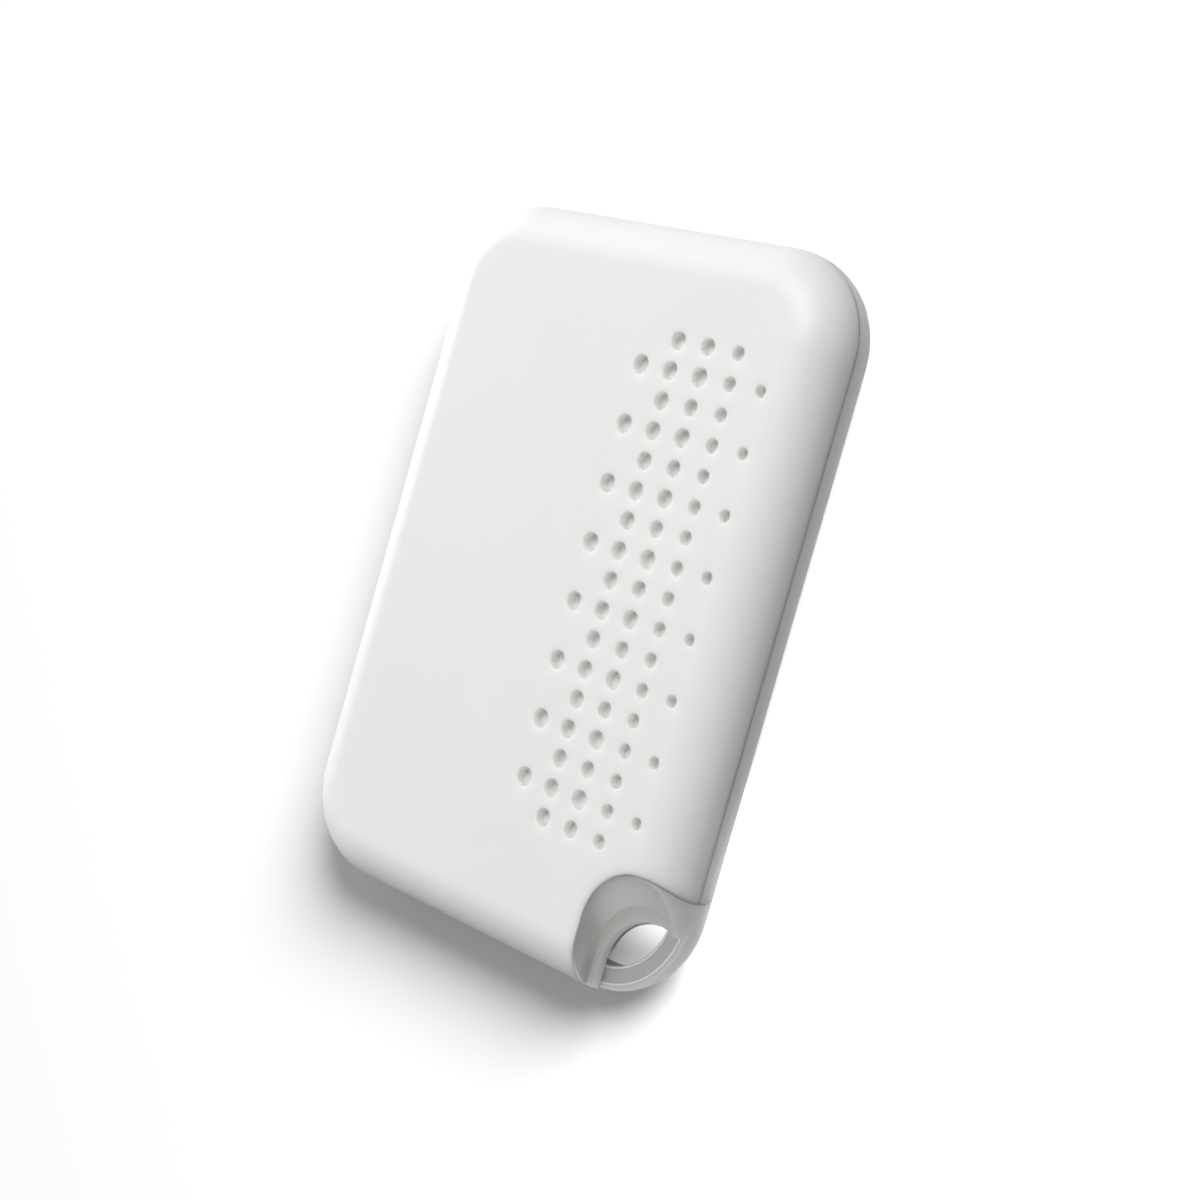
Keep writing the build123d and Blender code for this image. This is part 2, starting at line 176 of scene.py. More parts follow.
@dataclass
class Slab:
    """Upright-sided slab with round corners, and rounds along its lower and upper edges."""

    width: float
    length: float
    bottom: float
    top: float
    corner: float
    lower_round: float = 0.0
    upper_round: float = 0.0
    corner_segments: int = 28
    edge_segments: int = 14

    def build(self, name: str) -> bpy.types.Object:
        """Makes the slab.

        Args:
            name: name of the new object.

        Returns:
            The closed solid.
        """
        bm = bmesh.new()
        place = Matrix.Translation((0, 0, (self.bottom + self.top) / 2))
        size = Matrix.Diagonal((self.width, self.length, self.top - self.bottom, 1))
        bmesh.ops.create_cube(bm, size=1, matrix=place @ size)
        upright = [e for e in bm.edges if abs(e.verts[0].co.z - e.verts[1].co.z) > self.corner * MM]
        bevel(bm, upright, self.corner, self.corner_segments)
        for direction, width in ((-1, self.lower_round), (1, self.upper_round)):
            if width:
                bevel(bm, flat_face_edges(bm, direction), width, self.edge_segments)
        return to_object(bm, name)


def add_disc(bm: bmesh.types.BMesh, middle: Vector, radius: float, height: float, steps: int) -> None:
    """Adds an upright disc or rod to a bmesh.

    Args:
        bm: the bmesh that takes it.
        middle: its middle.
        radius: its radius.
        height: its height.
        steps: number of sides.
    """
    bmesh.ops.create_cone(
        bm, cap_ends=True, segments=steps, radius1=radius, radius2=radius, depth=height,
        matrix=Matrix.Translation(middle),
    )


def rod(name: str, x: float, y: float, radius: float, bottom: float, top: float, lip: float = 0.0,
        steps: int = 48, lip_steps: int = 4) -> bpy.types.Object:
    """Upright rod between two heights.

    Args:
        name: name of the new object.
        x: place across the body.
        y: place along the body.
        radius: radius of the rod.
        bottom: height of its lower end.
        top: height of its upper end.
        lip: radius of the round on its upper edge.
        steps: number of sides.
        lip_steps: number of steps across that round.

    Returns:
        The closed solid.
    """
    bm = bmesh.new()
    add_disc(bm, Vector((x, y, (bottom + top) / 2)), radius, top - bottom, steps)
    if lip:
        bevel(bm, flat_face_edges(bm, 1), lip, lip_steps)
    return to_object(bm, name)


def add_box(bm: bmesh.types.BMesh, low: Sequence[float], high: Sequence[float], edge: float = 0.0,
            slot: int = 0, edge_steps: int = 2) -> list[bmesh.types.BMVert]:
    """Adds a box between two corners to a bmesh.

    Args:
        bm: the bmesh that takes the box.
        low: lowest corner.
        high: highest corner.
        edge: radius of its edges.
        slot: material slot of its faces.
        edge_steps: number of steps across its edges.

    Returns:
        The corners of a box with sharp edges, or nothing if the edges are rounded.
    """
    middle = Matrix.Translation([(a + b) / 2 for a, b in zip(low, high)])
    size = Matrix.Diagonal([b - a for a, b in zip(low, high)] + [1])
    made = bmesh.ops.create_cube(bm, size=1, matrix=middle @ size)["verts"]
    for face in dict.fromkeys(f for v in made for f in v.link_faces):
        face.material_index = slot
    if not edge:
        return made
    bevel(bm, dict.fromkeys(e for v in made for e in v.link_edges), edge, edge_steps)
    return []


def block(name: str, low: Sequence[float], high: Sequence[float]) -> bpy.types.Object:
    """Makes a box between two corners.

    Args:
        name: name of the new object.
        low: lowest corner.
        high: highest corner.

    Returns:
        The closed solid.
    """
    bm = bmesh.new()
    add_box(bm, low, high)
    return to_object(bm, name)


def spanning(low: Vector, high: Vector, axis: int, start: float, end: float) -> tuple[Vector, Vector]:
    """Replaces the stretch of a box along one axis.

    Args:
        low: lowest corner.
        high: highest corner.
        axis: number of the axis.
        start: one end of the new stretch.
        end: its other end.

    Returns:
        The lowest and highest corner of the changed box.
    """
    near, far = low.copy(), high.copy()
    near[axis], far[axis] = sorted((start, end))
    return near, far


def shape_boxes(node: bpy.types.Object) -> list[tuple[Vector, Vector]]:
    """Boxes of the separate shapes of a CAD node.

    Args:
        node: the CAD node.

    Returns:
        Lowest and highest corner of each shape, in millimetres, from left to right.
    """
    bm = bmesh.new()
    bm.from_mesh(node.data)
    bmesh.ops.remove_doubles(bm, verts=bm.verts, dist=MM * MM)
    boxes, left = [], set(bm.verts)
    while left:
        shape, front = set(), {next(iter(left))}
        while front:
            shape |= front
            front = {e.other_vert(v) for v in front for e in v.link_edges} - shape
        left -= shape
        points = [v.co / MM for v in shape]
        boxes.append((Vector(map(min, zip(*points))), Vector(map(max, zip(*points)))))
    bm.free()
    return sorted(boxes, key=lambda box: tuple(box[0]))


def turned(bm: bmesh.types.BMesh, outline: Sequence[tuple[float, float]], centre: Vector,
           angle: float = FULL_TURN, steps: int = 64, closed: bool = False) -> None:
    """Turns an outline, given as radius and height, round an upright axis.

    Args:
        bm: the bmesh that takes the new faces.
        outline: its points.
        centre: a point on the axis.
        angle: how far the outline is turned, starting along +X.
        steps: number of steps in the turn.
        closed: whether the outline's last point is joined to its first.
    """
    verts = [bm.verts.new((centre.x + radius, centre.y, centre.z + height)) for radius, height in outline]
    pairs = list(zip(verts, verts[1:])) + ([(verts[-1], verts[0])] if closed else [])
    edges = [bm.edges.new(pair) for pair in pairs]
    full = abs(abs(angle) - FULL_TURN) < MM
    bmesh.ops.spin(
        bm, geom=verts + edges, cent=centre, axis=UP, angle=angle, steps=steps, use_merge=full,
    )


def quarter(centre: tuple[float, float], radius: float, start: float,
            steps: int = 5) -> list[tuple[float, float]]:
    """Points on a quarter circle of an outline, anticlockwise from a start angle in degrees."""
    angles = [math.radians(start + 90 * i / steps) for i in range(steps + 1)]
    return [(centre[0] + radius * math.cos(a), centre[1] + radius * math.sin(a)) for a in angles]


# Finishes: each recipe makes one procedural material


def linear(colour: str) -> tuple[float, float, float, float]:
    """Turns an sRGB hex colour into the linear values that shaders take."""
    parts = [int(colour[i:i + 2], 16) / 255 for i in (1, 3, 5)]
    return (*[p / 12.92 if p <= 0.04045 else ((p + 0.055) / 1.055) ** 2.4 for p in parts], 1.0)


def per_mm(size: float) -> float:
    """Texture scale whose features are about this many millimetres wide."""
    return 1 / (size * MM)


class Shading:
    """Node tree of a material or of the world, with a short call for each common step."""

    def __init__(self, owner: bpy.types.Material | bpy.types.World) -> None:
        """Empties the owner's node tree.

        Args:
            owner: the material or world.
        """
        owner.use_nodes = True
        self.tree = owner.node_tree
        self.tree.nodes.clear()

    def add(self, kind: str, settings: dict[str | int, object]) -> bpy.types.Node:
        """Adds one node.

        Args:
            kind: the end of Blender's name for the node type.
            settings: by the name of a property, or by the name or number of an input, its value or the
                socket that feeds it.

        Returns:
            The new node.
        """
        node = self.tree.nodes.new("ShaderNode" + kind)
        for key, value in settings.items():
            if isinstance(value, bpy.types.NodeSocket):
                self.tree.links.new(value, node.inputs[key])
            elif isinstance(key, str) and hasattr(node, key):
                setattr(node, key, value)
            else:
                node.inputs[key].default_value = value
        return node

    def where(self) -> bpy.types.NodeSocket:
        """Object coordinates, so that a pattern stays on its piece."""
        return self.add("TexCoord", {}).outputs["Object"]

    def noise(self, size: float, settings: dict[str | int, object]) -> bpy.types.NodeSocket:
        """Clouds or grain whose features are this many millimetres wide."""
        return self.add("TexNoise", {"Scale": per_mm(size), **settings}).outputs["Fac"]

    def maths(self, operation: str, first: bpy.types.NodeSocket,
              second: bpy.types.NodeSocket | float = 0.0) -> bpy.types.NodeSocket:
        """One value worked out from one or two others."""
        return self.add("Math", {"operation": operation, 0: first, 1: second}).outputs[0]

    def mixed(self, low: bpy.types.NodeSocket | str, high: bpy.types.NodeSocket | str,
              share: bpy.types.NodeSocket) -> bpy.types.NodeSocket:
        """Mixes two colours.

        Args:
            low: first colour, a socket or an sRGB hex colour.
            high: second colour, likewise.
            share: how much of the second colour shows, from 0 to 1.

        Returns:
            The mixed colour.
        """
        colours = {6: low, 7: high}
        inputs = {key: linear(value) if isinstance(value, str) else value for key, value in colours.items()}
        return self.add("Mix", {"data_type": "RGBA", 0: share, **inputs}).outputs[2]

    def ramp(self, value: bpy.types.NodeSocket, low: float, high: float) -> bpy.types.NodeSocket:
        """A value from 0 to 1, spread between two others."""
        return self.add("MapRange", {"Value": value, "To Min": low, "To Max": high}).outputs[0]

    def relief(self, height: bpy.types.NodeSocket, strength: float,
               millimetres: float) -> bpy.types.NodeSocket:
        """Normals of a surface raised by a height from 0 to 1."""
        settings = {"Strength": strength, "Distance": millimetres * MM, "Height": height}
        return self.add("Bump", settings).outputs[0]

    def seen(self) -> bpy.types.NodeSocket:
        """Tells apart what the camera sees.

        Returns:
            1 for what it sees directly, mirrored or through glass, and 0 for light on its way.
        """
        path = self.add("LightPath", {}).outputs
        direct = self.maths("MAXIMUM", path["Is Camera Ray"], path["Is Glossy Ray"])
        return self.maths("MAXIMUM", direct, path["Is Transmission Ray"])

    def show(self, shader: bpy.types.Node, output: str = "OutputMaterial") -> None:
        """Ends the tree with this shader."""
        self.add(output, {"Surface": shader.outputs[0]})


@dataclass(frozen=True, kw_only=True)
class Grained:
    """A surface whose tone drifts in soft clouds, with a grain that varies its gloss and its height.

    Its tones are two sRGB colours, its roughness is the least and the most, its grain is the width and height
    of a grain, and its drift is the width of a cloud, in millimetres.
    """

    CLOUD_DETAIL: ClassVar[float] = 3.0
    GRAIN_LOOK: ClassVar[dict[str, float]] = {"Detail": 2.0, "Roughness": 0.6}
    RELIEF: ClassVar[float] = 0.5

    name: str
    tones: tuple[str, str]
    roughness: tuple[float, float]
    grain: tuple[float, float]
    drift: float = 1.5
    stretch: Sequence[float] = (1.0, 1.0, 1.0)

    def build(self) -> bpy.types.Material:
        """Makes the material.

        Returns:
            The material, under the recipe's name.
        """
        material = bpy.data.materials.new(self.name)
        shading = Shading(material)
        where = shading.where()
        along = shading.add("Mapping", {"Scale": self.stretch, "Vector": where}).outputs[0]
        cloud = shading.noise(self.drift, {"Detail": self.CLOUD_DETAIL, "Vector": where})
        width, height = self.grain
        grain = shading.noise(width, {**self.GRAIN_LOOK, "Vector": along})
        shading.show(shading.add("BsdfPrincipled", {
            "Base Color": shading.mixed(*self.tones, cloud),
            "Roughness": shading.ramp(grain, *self.roughness),
            "Normal": shading.relief(grain, self.RELIEF, height),
            **self.nature(),
        }))
        return material

    def nature(self) -> dict[str, object]:
        """Shader values that set this kind of material apart."""
        raise NotImplementedError


@dataclass(frozen=True, kw_only=True)
class Moulding(Grained):
    """A moulded, pressed or fired material; light may spread inside it."""

    ior: float
    scatter: float = 0.0
    scatter_depth: float = 0.4

    def nature(self) -> dict[str, object]:
        """Says how light bends and spreads in it.

        Returns:
            Shader values, with the same spread for all colours.
        """
        return {
            "IOR": self.ior, "Subsurface Weight": self.scatter, "Subsurface Scale": self.scatter_depth * MM,
            "Subsurface Radius": (1.0, 1.0, 1.0),
        }


@dataclass(frozen=True, kw_only=True)
class Metal(Grained):
    """A metal surface with the lines or clouds that its making left."""

    CLOUD_DETAIL: ClassVar[float] = 2.0
    GRAIN_LOOK: ClassVar[dict[str, float]] = {"Detail": 4.0, "Roughness": 0.65}
    RELIEF: ClassVar[float] = 0.4

    def nature(self) -> dict[str, object]:
        """It is all metal."""
        return {"Metallic": 1.0}


# Acrylonitrile butadiene styrene, injection moulded against a spark-eroded tool: an even satin white
# in which light spreads for about a millimetre, which softens the dimples, with a grain too fine to count
COVER_WHITE = Moulding(
    name="abs_spark_eroded_white", tones=("#ECECEA", "#E7E7E5"), roughness=(0.41, 0.51), grain=(0.12, 0.004),
    drift=6.0, ior=1.53, scatter=1.0, scatter_depth=1.0,
)

# Polycarbonate moulded in a blasted tool: smoky and frosted, so light goes in and comes out blurred
INSERT_FROST = Moulding(
    name="polycarbonate_frosted", tones=("#D4D4D1", "#CBCBC9"), roughness=(0.36, 0.48), grain=(0.09, 0.005),
    drift=2.5, ior=1.58, scatter=0.6, scatter_depth=1.5,
)

# The same polycarbonate, painted lighter where it is thin or ends in a lip: a painted highlight along those
# edges
INSERT_PAINTED_HIGHLIGHT = Moulding(
    name="polycarbonate_painted_highlight", tones=("#F6F6F4", "#F0F0EE"), roughness=(0.25, 0.35), grain=(0.09, 0.003),
    drift=2.5, ior=1.58, scatter=0.5, scatter_depth=0.5,
)

# Epoxy moulding compound: black with a fine dull grain from its filler
CHIP_EPOXY = Moulding(
    name="epoxy_moulding_compound", tones=("#232325", "#1B1B1D"), roughness=(0.47, 0.63),
    grain=(0.05, 0.004), drift=0.8, ior=1.55,
)

# Barium titanate ceramic, fired: matt brown with a speckle of grains
CERAMIC = Moulding(
    name="fired_titanate_ceramic", tones=("#A98B66", "#8F7250"), roughness=(0.4, 0.6), grain=(0.06, 0.004),
    drift=0.5, ior=1.6,
)

# Alumina ceramic, fired: pale base of the crystals
ALUMINA = Moulding(
    name="fired_alumina", tones=("#CFC7B8", "#C2B9A8"), roughness=(0.42, 0.58), grain=(0.05, 0.004),
    drift=0.5, ior=1.7,
)

# Sintered ferrite: dark grey and slightly sparkling
FERRITE = Moulding(
    name="sintered_ferrite", tones=("#4A4A4D", "#38383B"), roughness=(0.5, 0.7), grain=(0.05, 0.006),
    drift=0.5, ior=1.6,
)

# Thick-film resistor under a black glaze
RESISTOR_GLAZE = Moulding(
    name="thick_film_glaze", tones=("#1E1E20", "#17181A"), roughness=(0.29, 0.41), grain=(0.05, 0.002),
    drift=0.4, ior=1.5,
)

# Clear epoxy over the lamp's die, slightly yellow from its phosphor
LAMP_RESIN = Moulding(
    name="lamp_epoxy_lens", tones=("#F0E9B8", "#E6DC9A"), roughness=(0.21, 0.29), grain=(0.08, 0.002),
    drift=0.5, ior=1.52, scatter=0.4, scatter_depth=0.4,
)

# Polypropylene seal of the cell, filled with soot: near black and waxy
GASKET = Moulding(
    name="polypropylene_black", tones=("#3A3A3D", "#313134"), roughness=(0.45, 0.55), grain=(0.1, 0.003),
    drift=1.0, ior=1.49,
)

# Microporous polypropylene film between the electrodes
SEPARATOR = Moulding(
    name="microporous_film", tones=("#F2F2F0", "#E6E6E3"), roughness=(0.55, 0.65), grain=(0.08, 0.003),
    drift=1.2, ior=1.49, scatter=0.1,
)

# Manganese dioxide pressed with carbon: dull black, granular
TABLET = Moulding(
    name="pressed_manganese_dioxide", tones=("#2B2A2A", "#1D1C1C"), roughness=(0.77, 0.93),
    grain=(0.1, 0.015), drift=0.6, ior=1.6,
)


# Nickel-plated steel sheet, drawn: bright with faint lines of the draw
CELL_STEEL = Metal(
    name="nickel_plated_drawn_steel", tones=("#D8D6D0", "#CBC9C3"), roughness=(0.19, 0.33),
    grain=(0.12, 0.003), stretch=(0.15, 1.0, 1.0),
)

# Spring steel strip, rolled and nickel plated: lines run along the strip
SPRING_STEEL = Metal(
    name="nickel_plated_spring_steel", tones=("#CFCAC0", "#BEB9AF"), roughness=(0.22, 0.38),
    grain=(0.1, 0.003), stretch=(0.1, 1.0, 1.0),
)

# Electroless nickel with immersion gold over copper: pale gold, satin
GOLD_COPPER = Metal(
    name="immersion_gold_copper", tones=("#E3C077", "#D4AE62"), roughness=(0.3, 0.42), grain=(0.06, 0.003),
)

# Kovar lid, seam welded: grey metal with a matt bloom
CRYSTAL_LID = Metal(
    name="kovar_welded_lid", tones=("#BDBBB6", "#ABA9A4"), roughness=(0.3, 0.46), grain=(0.08, 0.003),
)

# Tin over nickel on the ends of the small parts: dull silver, wetted by solder
TINNED_END = Metal(
    name="reflowed_tin", tones=("#C9CACC", "#B4B5B8"), roughness=(0.24, 0.44), grain=(0.15, 0.01),
)

# Lithium metal, rolled: soft grey with a bloom
LITHIUM = Metal(
    name="rolled_lithium", tones=("#B5B6B9", "#8F9094"), roughness=(0.4, 0.6), grain=(0.4, 0.01),
)


@dataclass(frozen=True, kw_only=True)
class BoardMask:
    """Glass cloth laminate under a green solder mask: the weave shows through on the faces."""

    name: str
    mask: str
    weave_shade: str
    laminate: str = "#C7B98A"
    thread: float = 0.42
    thread_waver: float = 0.4
    weave_height: float = 0.008
    weave_relief: float = 0.35
    level_share: float = 0.5

    def build(self) -> bpy.types.Material:
        """Makes the material: green on the faces, bare laminate on the cut edges.

        Returns:
            The material, under the recipe's name.
        """
        material = bpy.data.materials.new(self.name)
        shading = Shading(material)
        where = shading.where()
        scale = per_mm(self.thread) / WAVES_PER_UNIT
        warp, weft = (
            shading.add("TexWave", {
                "bands_direction": axis, "Scale": scale, "Distortion": self.thread_waver, "Vector": where,
            }).outputs["Fac"]
            for axis in ("X", "Y")
        )
        cloth = shading.maths("MAXIMUM", warp, weft)
        normal = shading.add("SeparateXYZ", {0: shading.add("NewGeometry", {}).outputs["True Normal"]})
        upright = shading.maths("ABSOLUTE", normal.outputs["Z"])
        on_face = shading.maths("GREATER_THAN", upright, self.level_share)
        green = shading.mixed(self.weave_shade, self.mask, cloth)
        shading.show(shading.add("BsdfPrincipled", {
            "Base Color": shading.mixed(self.laminate, green, on_face),
            "Normal": shading.relief(cloth, self.weave_relief, self.weave_height),
            "Roughness": 0.32, "IOR": 1.52, "Coat Weight": 0.3, "Coat Roughness": 0.2,
        }))
        return material


# Solder mask straight on the laminate: deep green, with the glass weave just showing
BOARD_MASK = BoardMask(name="laminate_with_solder_mask", mask="#1F6B45", weave_shade="#1A5F3D")

# The same mask where it lies over copper: lighter and yellower
TRACK_MASK = BoardMask(
    name="solder_mask_over_copper", mask="#3F9463", weave_shade="#3A8C5C", laminate="#B98E4C",
)


Recipe = Grained | BoardMask


@cache
def material_of(recipe: Recipe) -> bpy.types.Material:
    """Gives the material of a recipe, made the first time it is asked for."""
    return recipe.build()


def dress(obj: bpy.types.Object, recipes: Iterable[Recipe]) -> None:
    """Adds a material slot to an object for each recipe, in their order."""
    for recipe in recipes:
        obj.data.materials.append(material_of(recipe))


def finish_piece(obj: bpy.types.Object, body: Body, recipes: Sequence[Recipe], slot: str,
                 *nodes: str) -> bpy.types.Object:
    """Scales a piece to metres, shades it, dresses it and hangs it on its body.

    Args:
        obj: the piece, made in millimetres.
        body: the CAD body it rides on.
        recipes: its finishes, in the order of its slots.
        slot: the record's material slot; not used.
        *nodes: the CAD nodes that it stands for.

    Returns:
        The finished piece.
    """
    mesh = obj.data
    mesh.transform(Matrix.Scale(MM, 4))
    mesh.shade_smooth()
    mesh.set_sharp_from_angle(angle=SHARP_ANGLE)
    weighted = obj.modifiers.new("even_shading", "WEIGHTED_NORMAL")
    weighted.keep_sharp = True
    applied(obj)
    last = len(recipes) - 1
    indices = [min(face.material_index, last) for face in obj.data.polygons]
    obj.data.materials.clear()
    dress(obj, recipes)
    obj.data.polygons.foreach_set("material_index", indices)
    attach(obj, body.value)
    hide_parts(*nodes)
    LOG.info("%s: %d faces on %s", obj.name, len(obj.data.polygons), body.value)
    return obj


# The covers


@dataclass
class Shell:
    """Sizes that the covers, the insert and the board share, in millimetres.

    An arch is given as its radius, and how far its middle is from the right side and from the loop end.
    """

    width: float = 28.0
    length: float = 40.0
    thickness: float = 5.6
    corner: float = 5.2
    edge: float = 2.6
    wall: float = 1.0
    rear_wall: float = 0.8
    front_wall: float = 1.0
    split: float = 2.8
    seam_round: float = 0.015
    gap: float = 0.03
    reach: float = 12.0
    board_bottom: float = 1.6
    board_top: float = 2.4
    front_arch: Sequence[float] = (3.05, 1.9, 3.85)
    rear_arch: Sequence[float] = (4.6, 2.8, 2.586)
    flange: float = 0.8

    @property
    def side_x(self) -> float:
        """Place of the body's right side."""
        return self.width / 2

    @property
    def end_y(self) -> float:
        """Place of the body's loop end."""
        return -self.length / 2

    @property
    def cavity_top(self) -> float:
        """Height of the front cover's inner face."""
        return self.thickness - self.front_wall

    @property
    def inside_round(self) -> float:
        """Radius of the edges inside the walls."""
        return self.edge - self.wall

    def outer(self, name: str, bottom: float, top: float, lower: float, upper: float) -> bpy.types.Object:
        """A slice of the rounded body between two heights, with these rounds on its edges."""
        return Slab(self.width, self.length, bottom, top, self.corner, lower, upper).build(name)

    def inner(self, name: str, bottom: float, top: float, lower: float, upper: float,
              inset: float) -> bpy.types.Object:
        """Makes a slice of the space inside the walls.

        Args:
            name: name of the new object.
            bottom: height of its lower end.
            top: height of its upper end.
            lower: radius of its lower edges.
            upper: radius of its upper edges.
            inset: how far it stands in from the outline.

        Returns:
            The closed solid.
        """
        return Slab(
            self.width - 2 * inset, self.length - 2 * inset, bottom, top, self.corner - inset, lower, upper,
            corner_segments=20, edge_segments=6,
        ).build(name)

    def arch(self, name: str, levels: Sequence[tuple[float, float, float, float]],
             steps: int = 96) -> bpy.types.Object:
        """Lofts arch outlines that run out past the loop end of the body.

        Args:
            name: name of the new object.
            levels: for each outline its height, radius, and distances from the right side and the loop end.
            steps: number of points round the whole outline.

        Returns:
            The closed solid.
        """
        bm = bmesh.new()
        rings = []
        for index, (height, radius, from_side, from_end) in enumerate(levels):
            ends = index in (0, len(levels) - 1)
            centre = Vector((self.side_x - from_side, self.end_y + from_end, height))
            made = bmesh.ops.create_circle(
                bm, cap_ends=ends, segments=steps, radius=radius, matrix=Matrix.Translation(centre),
            )["verts"]
            legs = [v for v in made if v.co.y < centre.y - radius * MM]
            bmesh.ops.translate(bm, vec=(0, -self.reach, 0), verts=legs)
            rings.append(made)
        for low, high in zip(rings, rings[1:]):
            loops = [e for ring in (low, high) for e in dict.fromkeys(e for v in ring for e in v.link_edges)
                     if all(v in ring for v in e.verts)]
            bmesh.ops.bridge_loops(bm, edges=loops)
        return to_object(bm, name)

    def upright_arch(self, name: str, arch: Sequence[float], wider: float, bottom: float,
                     top: float) -> bpy.types.Object:
        """An arch with upright walls between two heights, this much wider in radius than the given one."""
        radius, side, end = arch
        return self.arch(name, [(z, radius + wider, side, end) for z in (bottom, top)])


@dataclass
class Pins:
    """Locating pins and posts at three corners of the covers."""

    radius: float = 0.8
    post_radius: float = 1.4
    inset: float = 3.7
    clearance: float = 0.04
    end_gap: float = 0.3
    lead: float = 0.15

    def places(self, shell: Shell) -> list[tuple[float, float]]:
        """Places of the pins: every corner but the one of the loop.

        Args:
            shell: sizes of the body.

        Returns:
            Each place as x and y.
        """
        x = shell.side_x - self.inset
        y = shell.length / 2 - self.inset
        return [(-x, y), (x, y), (-x, -y)]


@dataclass
class Seam:
    """The tongue on the rear cover and the groove that it stands in."""

    inset: float = 0.55
    height: float = 0.6
    clearance: float = 0.05

    def tongue(self, shell: Shell) -> bpy.types.Object:
        """Makes the ring that stands above the rear cover, flush with the inside of its wall.

        Args:
            shell: sizes of the body.

        Returns:
            The closed solid.
        """
        top = shell.split + self.height
        ring = shell.inner("tongue", shell.split, top, 0, 0, self.inset)
        hole = shell.inner("tongue_hole", shell.split - PAST, top + PAST, 0, 0, shell.wall)
        return combine(ring, hole, Cut.REMOVE)

    def groove(self, shell: Shell) -> bpy.types.Object:
        """The room that the front cover leaves for the tongue."""
        top = shell.split + self.height + self.clearance
        return shell.inner("groove", 0, top, 0, 0, self.inset - self.clearance)


@dataclass
class Dimples:
    """Field of blind dimples on the front, in rows of five and three."""

    depth: float = 0.6
    floor_round: float = 0.14
    lip: float = 0.1
    lip_rise: float = 0.012
    pitch_across: float = 2.06
    pitch_along: float = 1.63
    rows: int = 17
    from_side: float = 7.27
    up: float = 0.77
    wide_row: Sequence[float] = (1.02, 0.98, 1.0, 0.78, 0.64)
    narrow_row: Sequence[float] = (0.96, 0.89, 0.76)
    above: float = 0.4
    steps: int = 32
    round_steps: int = 4

    def section(self, radius: float) -> list[tuple[float, float]]:
        """Outlines the cutter of one dimple.

        Args:
            radius: radius of the dimple.

        Returns:
            Points as radius and height, from the axis at the floor to the axis above the face.
        """
        steps, r = self.round_steps, self.floor_round
        floor = quarter((radius - r, r - self.depth), r, -90, steps)
        edge = radius + self.lip
        lip = [(2 * edge - x, z) for x, z in quarter((edge, self.lip_rise - self.lip), self.lip, 0, steps)]
        return [(0, -self.depth), *floor, *lip, (edge + self.lip, self.above), (0, self.above)]

    def cutters(self, shell: Shell) -> bpy.types.Object:
        """Makes all dimples as one cutter.

        Args:
            shell: sizes of the body.

        Returns:
            An object of separate closed shapes.
        """
        bm = bmesh.new()
        for row in range(self.rows):
            diameters = self.wide_row if row % 2 else self.narrow_row
            y = self.up + (row - (self.rows - 1) / 2) * self.pitch_along
            for column, diameter in enumerate(diameters):
                x = shell.side_x - self.from_side + (column - (len(diameters) - 1) / 2) * self.pitch_across
                turned(bm, self.section(diameter / 2), Vector((x, y, shell.thickness)), steps=self.steps)
        bmesh.ops.remove_doubles(bm, verts=bm.verts, dist=MM)
        return to_object(bm, "dimple_cutters")


@dataclass
class CoinCellSizes:
    """Outside sizes and place of the coin cell."""

    radius: float = 10.0
    bottom: float = 1.15
    top: float = 4.35
    y: float = 5.6


@dataclass
class FrontCover:
    """Front shell: the dimpled face, the groove of the seam, sockets for the pins and hold-down ribs."""

    shell: Shell
    pins: Pins
    seam: Seam
    dimples: Dimples
    cell: CoinCellSizes
    clamp_gap: float = 0.05
    rib_gap: float = 0.1
    rib_count: int = 3
    rib_pitch: float = 5.0
    rib_length: float = 14.0
    rib_width: float = 0.8
    root: float = 0.3

    def build(self) -> None:
        """Makes the cover."""
        shell = self.shell
        cover = shell.outer("front_shell", shell.split, shell.thickness, shell.seam_round, shell.edge)
        hollow = shell.inner("hollow", 0, shell.cavity_top, 0, shell.inside_round, shell.wall)
        combine(cover, hollow, Cut.REMOVE)
        combine(cover, self.seam.groove(shell), Cut.REMOVE)
        self.add_ribs(cover)
        self.add_sockets(cover)
        arch = shell.upright_arch("arch_cut", shell.front_arch, shell.gap, 0, shell.thickness + PAST)
        combine(cover, arch, Cut.REMOVE)
        combine(cover, self.dimples.cutters(shell), Cut.REMOVE)
        finish_piece(cover, Body.FRONT, [COVER_WHITE], "white_cover", "front_cover")

    def add_ribs(self, cover: bpy.types.Object) -> None:
        """Adds the ribs that hold the cell down.

        Args:
            cover: the shell.
        """
        bottom = self.cell.top + self.rib_gap
        for index in range(self.rib_count):
            x = (index - (self.rib_count - 1) / 2) * self.rib_pitch
            low = (x - self.rib_width / 2, self.cell.y - self.rib_length / 2, bottom)
            high = (low[0] + self.rib_width, low[1] + self.rib_length, self.shell.cavity_top + self.root)
            combine(cover, block("rib", low, high), Cut.JOIN)

    def add_sockets(self, cover: bpy.types.Object) -> None:
        """Adds the posts and bores the sockets of the pins.

        Args:
            cover: the shell.
        """
        top = self.shell.cavity_top
        bottom = self.shell.board_top + self.clamp_gap
        for x, y in self.pins.places(self.shell):
            combine(cover, rod("post", x, y, self.pins.post_radius, bottom, top + self.root), Cut.JOIN)
            bore = rod("bore", x, y, self.pins.radius + self.pins.clearance, 0, top - self.pins.end_gap / 2)
            combine(cover, bore, Cut.REMOVE)


